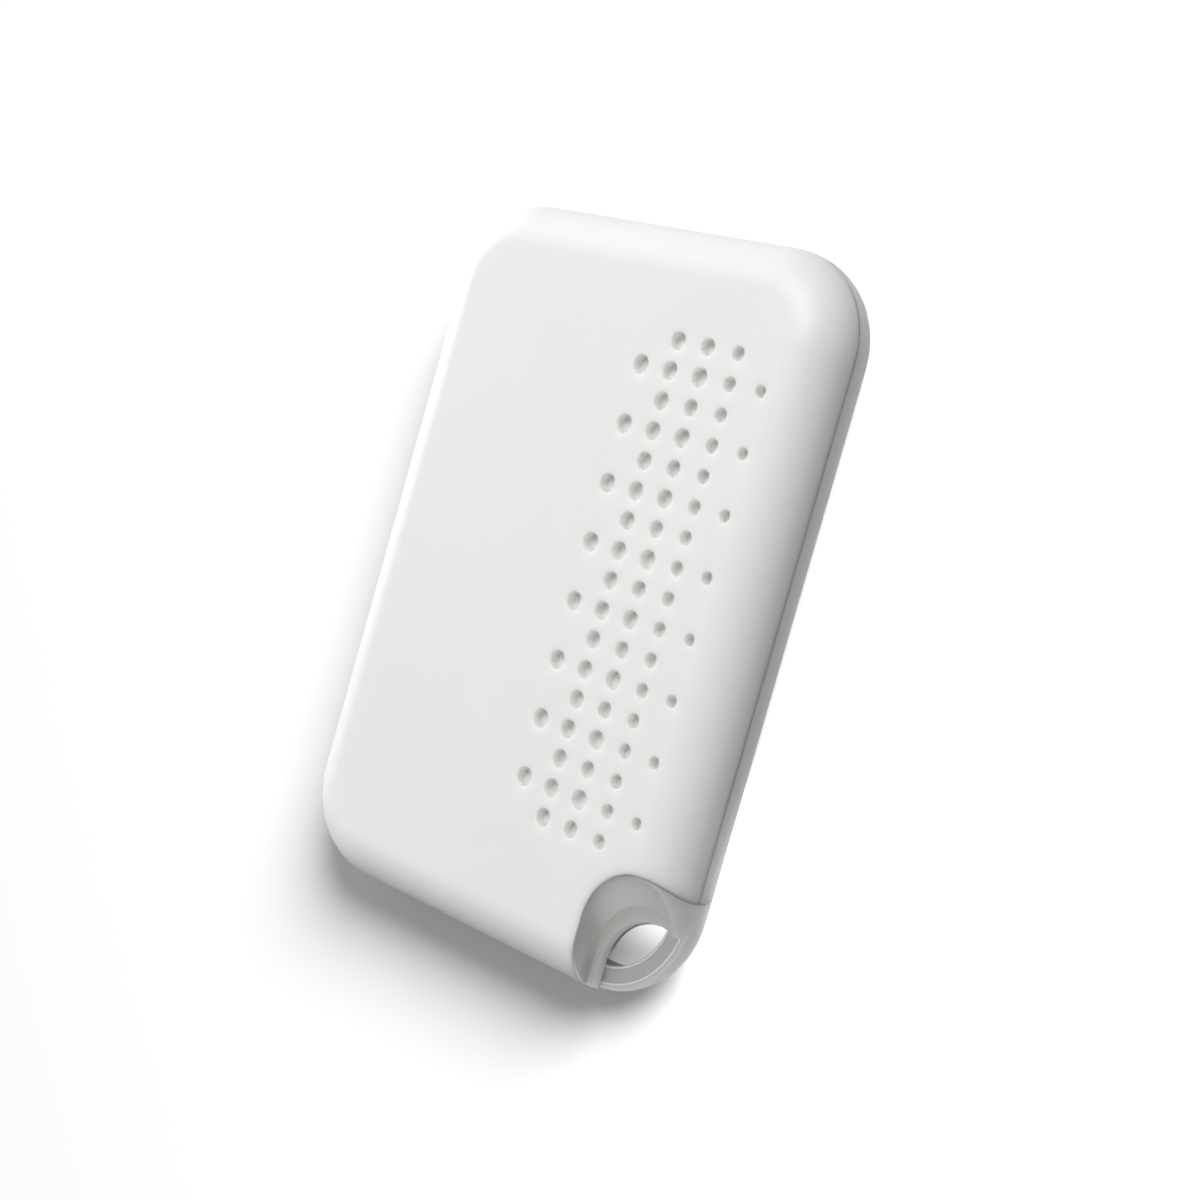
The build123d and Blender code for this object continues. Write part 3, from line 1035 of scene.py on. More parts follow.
@dataclass
class RearCover:
    """Rear shell: the tongue of the seam, pins and posts for the board, and the seat of the cell."""

    shell: Shell
    pins: Pins
    seam: Seam
    cell: CoinCellSizes
    seat_gap: float = 0.15
    seat_width: float = 0.6
    seat_length: float = 4.0
    seat_angles: Sequence[float] = (45, 135, 225, 315)
    seat_steps: int = 14
    notch_length: float = 5.0
    notch_depth: float = 0.45
    notch_height: float = 0.5
    root: float = 0.2

    def build(self) -> None:
        """Makes the cover."""
        shell, pins = self.shell, self.pins
        cover = shell.outer("rear_shell", 0, shell.split, shell.edge, shell.seam_round)
        hollow = shell.inner("hollow", shell.rear_wall, shell.thickness, shell.inside_round, 0, shell.wall)
        combine(cover, hollow, Cut.REMOVE)
        combine(cover, self.seam.tongue(shell), Cut.JOIN)
        for angle in self.seat_angles:
            combine(cover, self.seat_rib(math.radians(angle)), Cut.JOIN)
        bottom, pin_top = shell.rear_wall - self.root, shell.cavity_top - pins.end_gap
        for x, y in pins.places(shell):
            combine(cover, rod("post", x, y, pins.post_radius, bottom, shell.board_bottom), Cut.JOIN)
            combine(cover, rod("pin", x, y, pins.radius, bottom, pin_top, pins.lead), Cut.JOIN)
        low = (-shell.side_x - PAST, -self.notch_length / 2, shell.split - self.notch_height)
        high = (-shell.side_x + self.notch_depth, self.notch_length / 2, shell.split + PAST)
        combine(cover, block("notch", low, high), Cut.REMOVE)
        for wider, bottom, top in ((0, -PAST, shell.split), (shell.flange, shell.split, shell.thickness)):
            arch = shell.upright_arch("arch_cut", shell.rear_arch, wider + shell.gap, bottom, top)
            combine(cover, arch, Cut.REMOVE)
        finish_piece(cover, Body.BASE, [COVER_WHITE], "white_cover", "rear_cover")

    def seat_rib(self, angle: float) -> bpy.types.Object:
        """One curved rib beside the cell.

        Args:
            angle: direction of its middle from the cell's middle.

        Returns:
            The closed solid.
        """
        inner = self.cell.radius + self.seat_gap
        outer = inner + self.seat_width
        span = self.seat_length / inner
        bottom, top = self.shell.rear_wall - self.root, self.shell.board_top
        outline = [(inner, bottom), (outer, bottom), (outer, top), (inner, top)]
        bm = bmesh.new()
        centre = Vector((0, self.cell.y, 0))
        turned(bm, outline, centre, span, self.seat_steps, closed=True)
        ends = [e for e in bm.edges if e.is_boundary]
        bmesh.ops.holes_fill(bm, edges=ends, sides=4)
        bmesh.ops.rotate(bm, cent=centre, matrix=Matrix.Rotation(angle - span / 2, 3, "Z"), verts=bm.verts)
        return to_object(bm, "seat_rib")


@dataclass
class CornerLoop:
    """Frosted insert: flush with both covers, scooped out round the bar that carries the key ring."""

    shell: Shell
    # The second finish is the painted highlight on the lip round the hole and on the bar's ridges
    recipes: Sequence[Recipe] = (INSERT_FROST, INSERT_PAINTED_HIGHLIGHT)
    flange_gap: float = 0.08
    overlap: float = 0.2
    bevel: float = 0.25
    bevel_depth: float = 0.7
    bevel_end: float = 3.8
    rear_bevel: float = 0.6
    ledge: float = 3.9
    ledge_outline: Sequence[float] = (2.9, 1.9, 2.4)
    lip: float = 0.35
    lip_edge: float = 0.15
    hole: Sequence[float] = (2.95, 1.3, 1.65)
    hole_lead: float = 0.15
    hole_edge: float = 0.04
    throat: float = 2.3
    throat_outline: Sequence[float] = (3.5, 1.6, 1.8)
    bar_top: float = 2.9
    bar_thickness: float = 1.6
    bar_width: float = 1.3
    bar_round: float = 0.3
    bar_root: float = 1.3
    # Share of a ridge's height above which its faces take the painted highlight
    ridge_highlight_share: float = 1 / 3
    bar_steps: int = 32
    ridge: float = 0.07

    def build(self) -> bpy.types.Object:
        """Makes the insert.

        Returns:
            The finished piece.
        """
        shell, gap = self.shell, self.flange_gap
        body = self.within_outline(self.both_arches("corner_insert"))
        flange = shell.upright_arch("flange", shell.rear_arch, shell.flange, 0, shell.thickness)
        inside = shell.inner(
            "inside", shell.rear_wall, shell.cavity_top - gap, shell.inside_round, shell.inside_round,
            shell.wall + gap,
        )
        combine(body, combine(flange, inside, Cut.KEEP_COMMON), Cut.JOIN)
        combine(body, self.front_scoop(), Cut.REMOVE)
        combine(body, self.rear_scoop(), Cut.REMOVE)
        combine(body, self.bar(), Cut.JOIN)
        return finish_piece(body, Body.BASE, self.recipes, "frosted_insert", "corner_loop")

    def both_arches(self, name: str) -> bpy.types.Object:
        """Fills the space between the covers: the front one's narrow arch over the rear one's wide arch.

        Args:
            name: name of the new object.

        Returns:
            The closed solid, dressed as the insert.
        """
        shell = self.shell
        body = shell.upright_arch(
            name, shell.front_arch, 0, shell.split - self.overlap, shell.thickness + PAST,
        )
        dress(body, self.recipes)
        rear = shell.upright_arch("rear_half", shell.rear_arch, 0, -PAST, shell.split)
        return combine(body, rear, Cut.JOIN)

    def within_outline(self, solid: bpy.types.Object) -> bpy.types.Object:
        """Trims a solid to the outside of the body.

        Args:
            solid: the solid that is trimmed.

        Returns:
            The same object.
        """
        shell = self.shell
        skin = shell.outer("skin", 0, shell.thickness, shell.edge, shell.edge)
        return combine(solid, skin, Cut.KEEP_COMMON)

    def front_scoop(self) -> bpy.types.Object:
        """Makes the hollow seen from the front: a bevel, then a wall that leans towards +Y down to the ledge.

        Returns:
            The cutter.
        """
        radius, side, end = self.shell.front_arch
        top = self.shell.thickness
        return self.shell.arch("front_scoop", [
            (self.ledge, *self.ledge_outline),
            (top - self.bevel_depth, radius - self.bevel, side, self.bevel_end),
            (top, radius, side, end),
            (top + PAST, radius + self.bevel, side, end),
        ])

    def rear_scoop(self) -> bpy.types.Object:
        """Makes the hollow on the back: drawn in to a throat, then open through the ledge's thin lip.

        Returns:
            The cutter, dressed for the faces that it leaves, with a painted highlight on the band of the lip.
        """
        radius, side, end = self.shell.rear_arch
        hole, hole_side, hole_end = self.hole
        lip_bottom = self.ledge - self.lip
        scoop = self.shell.arch("rear_scoop", [
            (-PAST, radius + self.rear_bevel, side, end),
            (0.0, radius, side, end),
            (self.rear_bevel, radius - self.rear_bevel, side, end),
            (self.throat, *self.throat_outline),
            (lip_bottom - self.lip_edge, hole + self.hole_edge, hole_side, hole_end),
            (lip_bottom, hole, hole_side, hole_end),
            (self.ledge + self.overlap, hole + self.hole_lead, hole_side, hole_end),
        ])
        # The thin band of the lip round the hole takes the lighter finish: a painted highlight
        for face in scoop.data.polygons:
            face.material_index = int(lip_bottom - self.lip_edge < face.center.z < lip_bottom)
        dress(scoop, self.recipes)
        return scoop

    def bar(self) -> bpy.types.Object:
        """Makes the round-edged bar with a fine ridge on each upper edge and straight roots in the insert;
        the tops of the ridges carry a painted highlight.

        Returns:
            The closed solid, dressed as the insert.
        """
        shell, r, ridge = self.shell, self.bar_round, self.ridge
        outer, inner = shell.corner, shell.corner - self.bar_width
        top, low = self.bar_top, self.bar_top - self.bar_thickness
        outline = quarter((outer - r, low + r), r, -90) + quarter((outer - r, top - r), r, 0)[:-1]
        for place in ((outer - r - ridge, top), (inner + ridge, top)):
            outline += quarter(place, ridge, 0) + quarter(place, ridge, 90)[1:]
        outline += quarter((inner + r, low + r), r, 180)
        centre = Vector((shell.side_x - outer, shell.end_y + outer, 0))
        bm = bmesh.new()
        turned(bm, outline, centre, FULL_TURN / 4, self.bar_steps, closed=True)
        bmesh.ops.rotate(bm, cent=centre, matrix=Matrix.Rotation(-FULL_TURN / 4, 3, "Z"), verts=bm.verts)
        for at_left in (True, False):
            ends = [e for e in bm.edges if e.is_boundary
                    and (max(v.co.x for v in e.verts) < centre.x + MM) == at_left]
            grown = bmesh.ops.extrude_edge_only(bm, edges=ends)["geom"]
            root = Vector((-self.bar_root, 0, 0)) if at_left else Vector((0, self.bar_root, 0))
            bmesh.ops.translate(bm, vec=root, verts=[g for g in grown if isinstance(g, bmesh.types.BMVert)])
        bmesh.ops.holes_fill(bm, edges=[e for e in bm.edges if e.is_boundary], sides=0)
        # The faces on top of the ridges take the lighter finish: a painted highlight
        for face in bm.faces:
            face.material_index = int(face.calc_center_median().z > top + ridge * self.ridge_highlight_share)
        bar = to_object(bm, "bar")
        dress(bar, self.recipes)
        return self.within_outline(combine(bar, self.both_arches("bar_room"), Cut.KEEP_COMMON))


# The parts inside


@dataclass
class TwoEnded:
    """Small parts whose body shows between two tinned ends, each with its fillet of solder."""

    end_share: float = 0.22
    step: float = 0.03
    edge: float = 0.05
    solder: float = 0.16
    solder_share: float = 0.6
    solder_slope: float = 3.0

    def build(self, node: bpy.types.Object, recipe: Recipe, slot: str) -> None:
        """Makes the parts of one CAD node.

        Args:
            node: the CAD node, which gives their places and sizes.
            recipe: finish of their bodies.
            slot: the record's material slot.
        """
        bm = bmesh.new()
        for low, high in shape_boxes(node):
            size = high - low
            along = int(size.y > size.x)
            end = size[along] * self.end_share
            inset = Vector((self.step, self.step, 0))
            inset[along] = end / 2
            add_box(bm, low + inset, high - inset - self.step * UP, self.edge / 2)
            for face, outward in ((low[along], -1), (high[along], 1)):
                near, far = spanning(low, high, along, face, face - outward * end)
                add_box(bm, near, far, self.edge, 1)
                self.add_solder(bm, near, far, along, outward)
        soldered = to_object(bm, node.name + "_soldered")
        finish_piece(soldered, Body.BASE, [recipe, TINNED_END], slot, node.name)

    def add_solder(self, bm: bmesh.types.BMesh, low: Vector, high: Vector, along: int, outward: int) -> None:
        """Adds the wedge of solder in front of one end.

        Args:
            bm: the bmesh that takes it.
            low: lowest corner of the end.
            high: highest corner of the end.
            along: the part's long direction, 0 or 1.
            outward: which way the end looks, -1 or 1.
        """
        face = high[along] if outward > 0 else low[along]
        height = (high.z - low.z) * self.solder_share
        reach = min(self.solder, height / self.solder_slope)
        near, far = spanning(low, high, along, face - outward * self.edge, face + outward * reach)
        near[1 - along] += self.step
        far[1 - along] -= self.step
        far.z = low.z + height
        for vert in add_box(bm, near, far, slot=1):
            if vert.co.z > near.z + MM and (vert.co[along] - face) * outward > MM:
                vert.co[along] = face + outward * self.step


@dataclass
class Chip:
    """Radio chip: a moulded body with the dent of its first pin, and tinned lands along each side."""

    edge: float = 0.06
    mark_radius: float = 0.2
    mark_inset: float = 0.8
    mark_depth: float = 0.1
    lands: int = 11
    pitch: float = 0.4
    land: Sequence[float] = (0.2, 0.1, 0.22)
    land_edge: float = 0.025

    def build(self, node: bpy.types.Object) -> None:
        """Makes the chip.

        Args:
            node: its CAD node.
        """
        low, high = shape_boxes(node)[0]
        bm = bmesh.new()
        add_box(bm, low, high, self.edge)
        chip = to_object(bm, "chip_body")
        x, y = low.x + self.mark_inset, high.y - self.mark_inset
        dent = rod("first_pin_dent", x, y, self.mark_radius, high.z - self.mark_depth, high.z + PAST)
        combine(chip, dent, Cut.REMOVE)
        bm = bmesh.new()
        bm.from_mesh(chip.data)
        self.add_lands(bm, low, high)
        bm.to_mesh(chip.data)
        bm.free()
        finish_piece(chip, Body.BASE, [CHIP_EPOXY, TINNED_END], "moulded_epoxy", node.name)

    def add_lands(self, bm: bmesh.types.BMesh, low: Vector, high: Vector) -> None:
        """Adds the lands, each with its toe of solder, round the foot of the chip.

        Args:
            bm: the bmesh that takes them.
            low: lowest corner of the chip.
            high: highest corner of the chip.
        """
        width, reach, height = self.land
        middle = (low + high) / 2
        for index in range(self.lands):
            shift = (index - (self.lands - 1) / 2) * self.pitch
            for axis in (0, 1):
                for side in (low[axis], high[axis]):
                    near, far = spanning(middle, middle, axis, side - reach, side + reach)
                    near[1 - axis] += shift - width / 2
                    far[1 - axis] += shift + width / 2
                    near.z, far.z = low.z, low.z + height
                    add_box(bm, near, far, self.land_edge, 1)


@dataclass
class Crystal:
    """Crystal: a ceramic base with a welded metal lid."""

    base_edge: float = 0.02
    lid_inset: float = 0.08
    lid_edge: float = 0.09
    base_share: float = 0.55

    def build(self, node: bpy.types.Object) -> None:
        """Makes the crystal.

        Args:
            node: its CAD node.
        """
        low, high = shape_boxes(node)[0]
        bm = bmesh.new()
        seam = low.z + (high.z - low.z) * self.base_share
        add_box(bm, low, (high.x, high.y, seam), self.base_edge)
        inset = Vector((self.lid_inset, self.lid_inset, 0))
        add_box(bm, (low.x + inset.x, low.y + inset.y, seam - self.lid_inset), high - inset, self.lid_edge, 1)
        lidded = to_object(bm, node.name + "_lidded")
        finish_piece(lidded, Body.BASE, [ALUMINA, CRYSTAL_LID], "crystal_lid", node.name)


@dataclass
class CoinCell:
    """Can and cap of the coin cell: drawn from sheet, with round edges, and a plus stamped in the can."""

    cell: CoinCellSizes
    wall: float = 0.25
    draw: float = 0.35
    cap_draw: float = 0.25
    crimp_radius: float = 9.15
    crimp_bottom: float = 1.45
    cap_radius: float = 8.85
    plus: Sequence[float] = (4.4, 0.7, 0.05)
    steps: int = 160

    def build(self) -> None:
        """Makes both pieces."""
        cell, wall = self.cell, self.wall
        roof = cell.top - wall
        can = self.spun("can_drawn", [
            (0, cell.top), *reversed(quarter((cell.radius - self.draw, cell.top - self.draw), self.draw, 0)),
            *reversed(quarter((cell.radius - wall, self.crimp_bottom + wall), wall, -90)),
            (self.crimp_radius, self.crimp_bottom), (self.crimp_radius, self.crimp_bottom + wall),
            (cell.radius - wall, self.crimp_bottom + wall), (cell.radius - wall, roof), (0, roof),
        ])
        length, width, depth = self.plus
        for x, y in ((length, width), (width, length)):
            low = (-x / 2, cell.y - y / 2, cell.top - depth)
            combine(can, block("plus_bar", low, (x / 2, cell.y + y / 2, cell.top + PAST)), Cut.REMOVE)
        inner, floor = self.cap_radius - wall, cell.bottom + wall
        cap = self.spun("cap_drawn", [
            (0, cell.bottom), *quarter((self.cap_radius - self.cap_draw, cell.bottom + self.cap_draw),
                                       self.cap_draw, -90),
            (self.cap_radius, roof - wall), (inner, roof - wall), (inner, floor), (0, floor),
        ])
        for piece, node in ((can, "cell_can"), (cap, "cell_cap")):
            finish_piece(piece, Body.CELL, [CELL_STEEL], "cell_steel", node)

    def spun(self, name: str, outline: Sequence[tuple[float, float]]) -> bpy.types.Object:
        """Turns an outline that starts and ends on the cell's axis.

        Args:
            name: name of the new object.
            outline: points as radius and height.

        Returns:
            The closed solid.
        """
        bm = bmesh.new()
        turned(bm, outline, Vector((0, self.cell.y, 0)), steps=self.steps)
        bmesh.ops.remove_doubles(bm, verts=bm.verts, dist=MM)
        return to_object(bm, name)


@dataclass
class Board:
    """Circuit board: tracks under the mask, plated holes, and rings round the holes of the pins."""

    shell: Shell
    pins: Pins
    cell: CoinCellSizes
    inset: float = 1.287
    edge: float = 0.05
    edge_steps: int = 2
    cell_gap: float = 0.9
    cell_steps: int = 160
    notch_gap: float = 0.3
    pin_clearance: float = 0.08
    ring_gap: float = 0.1
    ring_width: float = 0.45
    ring_steps: int = 48
    raised: float = 0.015
    step: float = 0.003
    track: float = 0.17
    joint: float = 0.19
    via: float = 0.17
    round_steps: int = 16
    stitches: int = 8
    stitch_pitch: float = 2.2
    stitch_side: float = 1.75
    stitch_end: float = 1.0
    routes: Sequence[Sequence[tuple[float, float]]] = (
        ((-0.1, -12.4), (-0.1, -13.6), (0.2, -13.9), (0.2, -14.1)),
        ((-3.4, -9.0), (-4.4, -9.0)),
        ((-3.4, -9.8), (-4.0, -9.8), (-4.4, -9.5)),
        ((-3.4, -10.6), (-4.0, -10.6), (-4.5, -11.1)),
        ((-3.4, -11.0), (-3.8, -11.0), (-4.4, -11.6)),
        ((1.4, -9.6), (2.5, -9.6)),
        ((1.4, -8.8), (2.5, -8.8)),
        ((1.4, -10.4), (3.0, -10.4), (4.2, -11.6), (4.2, -13.2)),
        ((3.4, -13.4), (3.4, -14.2), (3.8, -14.6)),
        ((-5.7, -7.55), (-8.2, -7.55), (-8.5, -7.85), (-10.6, -7.85)),
        ((-5.7, -6.65), (-8.2, -6.65), (-8.5, -6.35), (-10.6, -6.35)),
        ((-10.6, -9.35), (-8.4, -9.35)),
        ((-10.6, -10.85), (-8.6, -10.85)),
        ((-10.6, -12.35), (-8.2, -12.35), (-7.6, -12.95), (-4.0, -12.95), (-3.3, -12.3)),
        ((-4.9, -6.65), (-4.2, -6.65), (-3.4, -7.45), (-3.1, -7.6)),
        ((4.4, -5.2), (5.7, -6.5), (5.9, -7.4)),
        ((8.8, -8.05), (10.7, -8.05), (11.9, -6.85), (11.9, -3.2)),
        ((-4.4, -5.2), (-5.2, -5.6), (-11.6, -5.0), (-11.9, -4.4), (-11.9, -2.6)),
        *(((x, -7.6), (x, -6.7)) for x in (-3.2, -2.4, -1.4, -0.6, 0.4, 1.2)),
        *(((x, -12.3), (x, -13.2)) for x in (-3.2, -2.4, -1.4, 0.4, 1.2)),
    )
    lone_holes: Sequence[tuple[float, float]] = (
        (-8.4, -9.35), (-8.6, -10.85), (-3.6, -13.9), (-1.8, -13.9), (2.2, -12.1), (2.9, -6.6), (2.1, -5.9),
        (-6.4, -13.6), (5.4, -10.6), (8.4, -5.9), (9.6, -10.4),
    )

    def build(self) -> None:
        """Makes the board."""
        shell = self.shell
        board = Slab(
            shell.width - 2 * self.inset, shell.length - 2 * self.inset, shell.board_bottom, shell.board_top,
            shell.corner - self.inset, self.edge, self.edge, edge_segments=self.edge_steps,
        ).build("printed_board")
        cell_hole = self.cell.radius + self.cell_gap
        hole = rod("cell_hole", 0, self.cell.y, cell_hole, 0, shell.thickness, steps=self.cell_steps)
        combine(board, hole, Cut.REMOVE)
        wider = shell.flange + self.notch_gap
        notch = shell.upright_arch("insert_notch", shell.rear_arch, wider, 0, shell.thickness)
        combine(board, notch, Cut.REMOVE)
        vias = [*self.lone_holes, *self.stitching()]
        drill = bmesh.new()
        for x, y in vias:
            add_disc(drill, Vector((x, y, shell.board_top)), self.via / 2, shell.thickness, self.round_steps)
        combine(board, to_object(drill, "drill"), Cut.REMOVE)
        radius = self.pins.radius + self.pin_clearance
        for x, y in self.pins.places(shell):
            combine(board, rod("pin_hole", x, y, radius, 0, shell.thickness), Cut.REMOVE)
        bm = bmesh.new()
        for route in self.routes:
            self.add_track(bm, route)
        tracks = set(bm.faces)
        for x, y in vias:
            self.add_ring(bm, x, y, self.via / 2, self.via / 2, self.round_steps)
        for x, y in self.pins.places(shell):
            self.add_ring(bm, x, y, radius + self.ring_gap, self.ring_width, self.ring_steps)
        for face in bm.faces:
            face.material_index = 1 if face in tracks else 2
        bm.from_mesh(board.data)
        bm.to_mesh(board.data)
        bm.free()
        recipes = [BOARD_MASK, TRACK_MASK, GOLD_COPPER]
        finish_piece(board, Body.BASE, recipes, "board_laminate", "circuit_board")

    def stitching(self) -> list[tuple[float, float]]:
        """Finds the plated holes that tie the ground layers together along both long sides.

        Returns:
            Each place as x and y.
        """
        side = self.shell.side_x - self.stitch_side
        top = self.shell.length / 2 - self.shell.corner - self.stitch_end
        return [(x, top - i * self.stitch_pitch) for x in (-side, side) for i in range(self.stitches)]

    def add_track(self, bm: bmesh.types.BMesh, route: Sequence[tuple[float, float]]) -> None:
        """Adds a track: a low bar for each run, and a round joint over each end.

        Args:
            bm: the bmesh that takes it.
            route: points as x and y.
        """
        points = [Vector((*point, self.shell.board_top)) for point in route]
        for start, end in zip(points, points[1:]):
            run = end - start
            turn = Matrix.Rotation(math.atan2(run.y, run.x), 4, "Z")
            size = Matrix.Diagonal((run.length, self.track, 2 * self.raised, 1))
            bmesh.ops.create_cube(bm, size=1, matrix=Matrix.Translation((start + end) / 2) @ turn @ size)
        for point in points:
            add_disc(bm, point, self.joint / 2, 2 * (self.raised + self.step), self.round_steps)

    def add_ring(self, bm: bmesh.types.BMesh, x: float, y: float, inner: float, width: float,
                 steps: int) -> None:
        """Adds a flat ring of plated copper.

        Args:
            bm: the bmesh that takes it.
            x: place across the board.
            y: place along the board.
            inner: radius of its hole.
            width: width of the copper.
            steps: number of steps round it.
        """
        top = self.shell.board_top
        low, high = top - self.raised, top + self.raised + 2 * self.step
        outline = [(inner, low), (inner + width, low), (inner + width, high), (inner, high)]
        turned(bm, outline, Vector((x, y, 0)), steps=steps, closed=True)


@dataclass
class Inside:
    """Everything between the covers; a few thin CAD nodes are shown as they are, with their finish."""

    shell: Shell
    pins: Pins
    cell: CoinCellSizes

    def build(self, nodes: dict[str, bpy.types.Object]) -> None:
        """Makes or dresses each part.

        Args:
            nodes: the CAD nodes by name.
        """
        Board(self.shell, self.pins, self.cell).build()
        Chip().build(nodes["bluetooth_chip"])
        for name in ("main_crystal", "watch_crystal"):
            Crystal().build(nodes[name])
        soldered = {
            "power_inductor": (FERRITE, "ferrite"),
            "bulk_capacitor": (CERAMIC, "ceramic_capacitor"),
            "decoupling_capacitors": (CERAMIC, "ceramic_capacitor"),
            "matching_parts": (CERAMIC, "ceramic_capacitor"),
            "resistors": (RESISTOR_GLAZE, "resistor_film"),
            "status_lamp": (LAMP_RESIN, "lamp_resin"),
        }
        for name, (recipe, slot) in soldered.items():
            TwoEnded().build(nodes[name], recipe, slot)
        CoinCell(self.cell).build()
        shown = {
            "antenna_trace": GOLD_COPPER,
            "test_pads": GOLD_COPPER,
            "negative_contact": SPRING_STEEL,
            "positive_contact": SPRING_STEEL,
            "cell_gasket": GASKET,
            "cell_anode": LITHIUM,
            "cell_separator": SEPARATOR,
            "cell_cathode": TABLET,
        }
        for name, recipe in shown.items():
            nodes[name].data.materials.clear()
            dress(nodes[name], [recipe])
            LOG.info("%s: %s", name, recipe.name)


# The studio


class Lights(Enum):
    """What a lamp falls on."""

    COVERS = "everything but the floor and the frosted insert"
    INSERT = "the frosted insert"
    BACKDROP = "the floor"


@dataclass(frozen=True)
class StudioLamp:
    """One lamp that lights only its own share: soft, or with a snoot that leaves a small pool."""

    SPOT_GAIN: ClassVar[float] = 4.0

    name: str
    direction: Sequence[float]
    distance: float
    size: float
    level: float
    lights: Lights
    target: Sequence[float] = (0, 0, 0)
    pool: float = 0.0

    @property
    def power(self) -> float:
        """Power at which a surface that faces the lamp renders at this level of its colour."""
        return self.level * (math.pi * self.distance) ** 2

    def build(self, floor: bpy.types.Object, insert: bpy.types.Object) -> None:
        """Hangs the lamp.

        Args:
            floor: the studio's floor, which has a lamp of its own so that it stays white.
            insert: the frosted piece; its own lamp stands for the light led through it.
        """
        light = bpy.data.lights.new(self.name, "SPOT" if self.pool else "AREA")
        if self.pool:
            light.spot_size = 2 * math.atan(self.pool / self.distance)
            light.spot_blend = 1
            light.shadow_soft_size = self.size / 2
            light.energy = self.SPOT_GAIN * self.power
        else:
            light.shape = "DISK"
            light.size = self.size
            light.energy = self.power
        lamp = bpy.data.objects.new(self.name, light)
        beam = Vector(self.direction).normalized()
        lamp.location = Vector(self.target) + beam * self.distance
        lamp.rotation_euler = beam.to_track_quat("Z", "Y").to_euler()
        lamp.visible_camera = False
        bpy.context.scene.collection.objects.link(lamp)
        shares = {
            Lights.COVERS: ("EXCLUDE", floor, insert),
            Lights.INSERT: ("INCLUDE", insert),
            Lights.BACKDROP: ("INCLUDE", floor),
        }
        lamp.light_linking.receiver_collection = self.linked(*shares[self.lights])

    def linked(self, state: str, *objects: bpy.types.Object) -> bpy.types.Collection:
        """Makes the collection for the lamp's light linking.

        Args:
            state: whether the lamp falls on the objects alone, or on all but them.
            *objects: the objects.

        Returns:
            The collection.
        """
        collection = bpy.data.collections.new(self.name + "_share")
        for obj in objects:
            collection.objects.link(obj)
        for entry in collection.collection_objects:
            entry.light_linking.link_state = state
        return collection


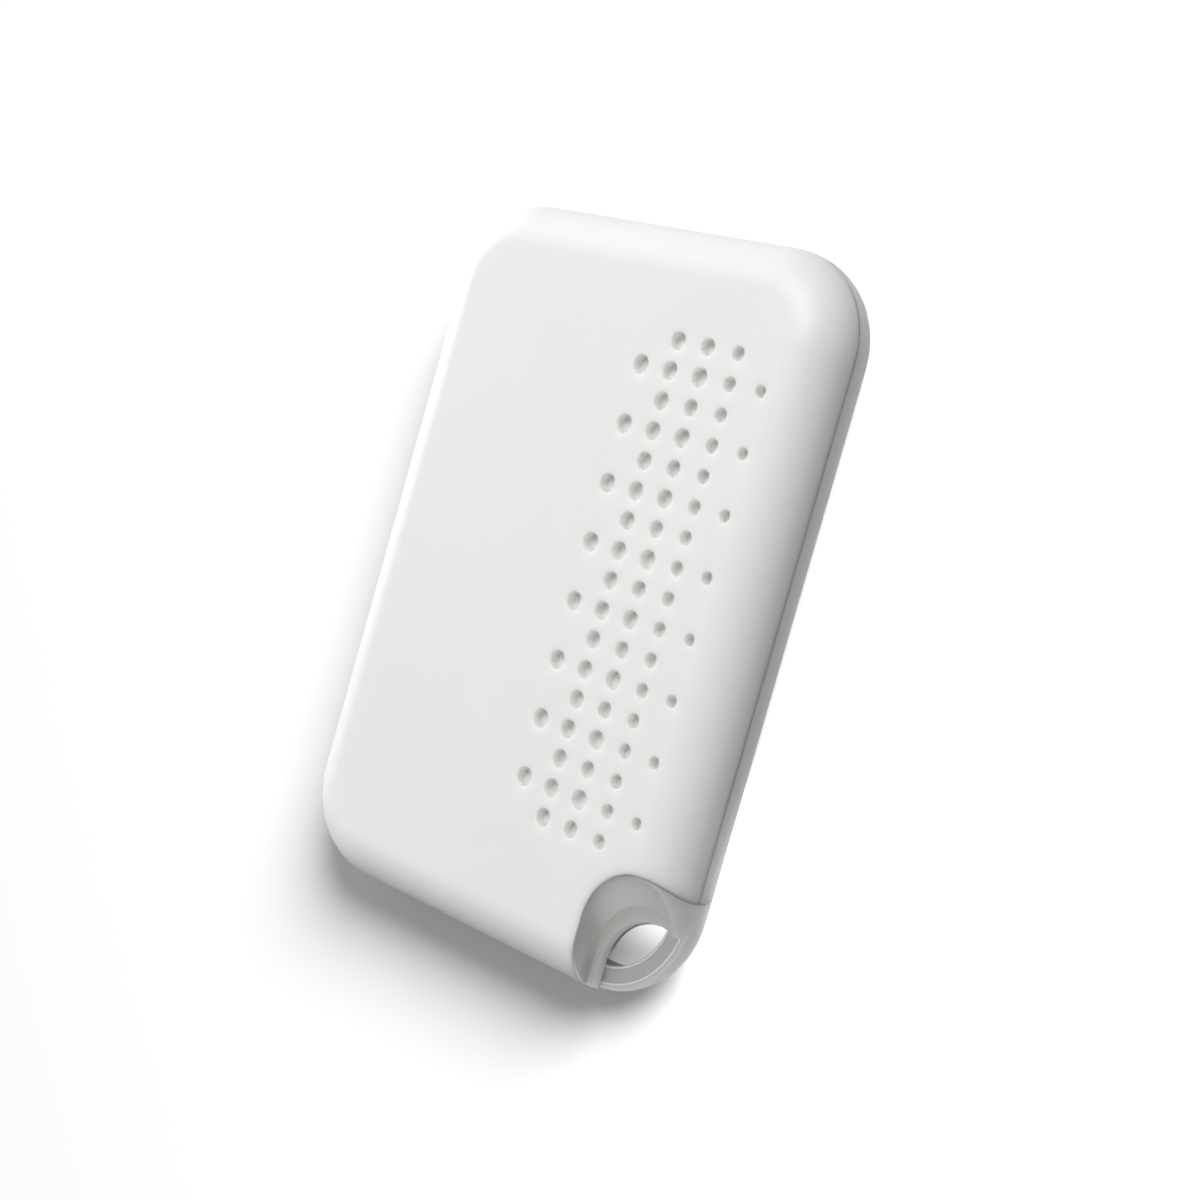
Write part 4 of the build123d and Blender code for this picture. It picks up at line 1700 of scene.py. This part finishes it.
@dataclass
class Studio:
    """Pale floor, soft lamps, and the camera at the photograph's angle; places are in metres."""

    floor_size: float = 2.0
    floor_drop: float = 0.00002
    fade_from: float = 0.12
    fade_to: float = 0.25
    paper: str = "#FFFFFF"
    bounced: str = "#8C8C8C"
    sky: float = 0.3
    lamps: Sequence[StudioLamp] = (
        StudioLamp("key", (0.02, 0.5, 0.86), 0.6, 0.35, 0.75, Lights.COVERS),
        StudioLamp("side_fill", (-1.0, 0.2, 0.1), 0.6, 0.35, 0.6, Lights.COVERS),
        StudioLamp("insert_lamp", (0.35, -0.6, 0.65), 0.6, 0.5, 0.36, Lights.INSERT),
        StudioLamp("backdrop_lamp", (0.62, 0.7, 0.6), 0.8, 0.45, 1.6, Lights.BACKDROP),
        StudioLamp(
            "loop_snoot", (0.57, 0.19, 0.8), 0.3, 0.004, 1.7, Lights.BACKDROP, (0.0108, -0.013, 0), 0.0058,
        ),
    )
    camera_place: Sequence[float] = (0.076297, 0.005607, 0.088513)
    camera_target: Sequence[float] = (0.001957, -0.000561, 0.0028)
    camera_roll: float = -77.733
    focal_length: float = 62.6

    def build(self, insert: bpy.types.Object) -> None:
        """Sets up everything that isn't the beacon.

        Args:
            insert: the frosted piece.
        """
        bpy.context.scene.view_settings.view_transform = "Standard"
        floor = self.make_floor()
        self.make_world()
        for lamp in self.lamps:
            lamp.build(floor, insert)
        self.make_camera()

    def make_floor(self) -> bpy.types.Object:
        """Lays the pale floor, which keeps the beacon's shadow and fades into the white surround further out.

        Returns:
            The floor.
        """
        bm = bmesh.new()
        bmesh.ops.create_grid(bm, x_segments=4, y_segments=4, size=self.floor_size)
        bmesh.ops.translate(bm, vec=(0, 0, -self.floor_drop), verts=bm.verts)
        floor = to_object(bm, "studio_floor")
        material = bpy.data.materials.new("paper_backdrop_white")
        shading = Shading(material)
        seen = shading.seen()
        paper = shading.add("BsdfDiffuse", {"Color": shading.mixed(self.bounced, self.paper, seen)})
        fade = shading.add("MapRange", {
            "interpolation_type": "SMOOTHSTEP", "From Min": self.fade_from, "From Max": self.fade_to,
            "Value": shading.add("VectorMath", {"operation": "LENGTH", 0: shading.where()}).outputs["Value"],
        })
        share = shading.maths("MULTIPLY", fade.outputs[0], seen)
        surround = shading.add("Emission", {"Color": WHITE, "Strength": 1.0})
        shading.show(shading.add("MixShader", {0: share, 1: paper.outputs[0], 2: surround.outputs[0]}))
        floor.data.materials.append(material)
        return floor

    def make_world(self) -> None:
        """A plain white surround: dim as a light, white where it is seen."""
        world = bpy.data.worlds.new("studio_surround")
        shading = Shading(world)
        strength = shading.ramp(shading.seen(), self.sky, 1.0)
        shading.show(shading.add("Background", {"Color": WHITE, "Strength": strength}), "OutputWorld")
        bpy.context.scene.world = world

    def make_camera(self) -> None:
        """Sets the camera where the photograph was taken from."""
        data = bpy.data.cameras.new("photo_camera")
        data.lens = self.focal_length
        data.clip_start = 0.005
        camera = bpy.data.objects.new("photo_camera", data)
        place, target = Vector(self.camera_place), Vector(self.camera_target)
        aim = (target - place).to_track_quat("-Z", "Y").to_matrix().to_4x4()
        roll = Matrix.Rotation(math.radians(self.camera_roll), 4, "Z")
        camera.matrix_world = Matrix.Translation(place) @ aim @ roll
        bpy.context.scene.collection.objects.link(camera)
        bpy.context.scene.camera = camera


def main() -> None:
    """Builds the beacon's pieces in order, then the studio."""
    logging.basicConfig(level=logging.INFO, format="%(name)s: %(message)s")
    shell, pins, seam, cell = Shell(), Pins(), Seam(), CoinCellSizes()
    FrontCover(shell, pins, seam, Dimples(), cell).build()
    RearCover(shell, pins, seam, cell).build()
    loop = CornerLoop(shell).build()
    Inside(shell, pins, cell).build(frame["nodes"])
    Studio().build(loop)


if __name__ == "__main__":
    main()
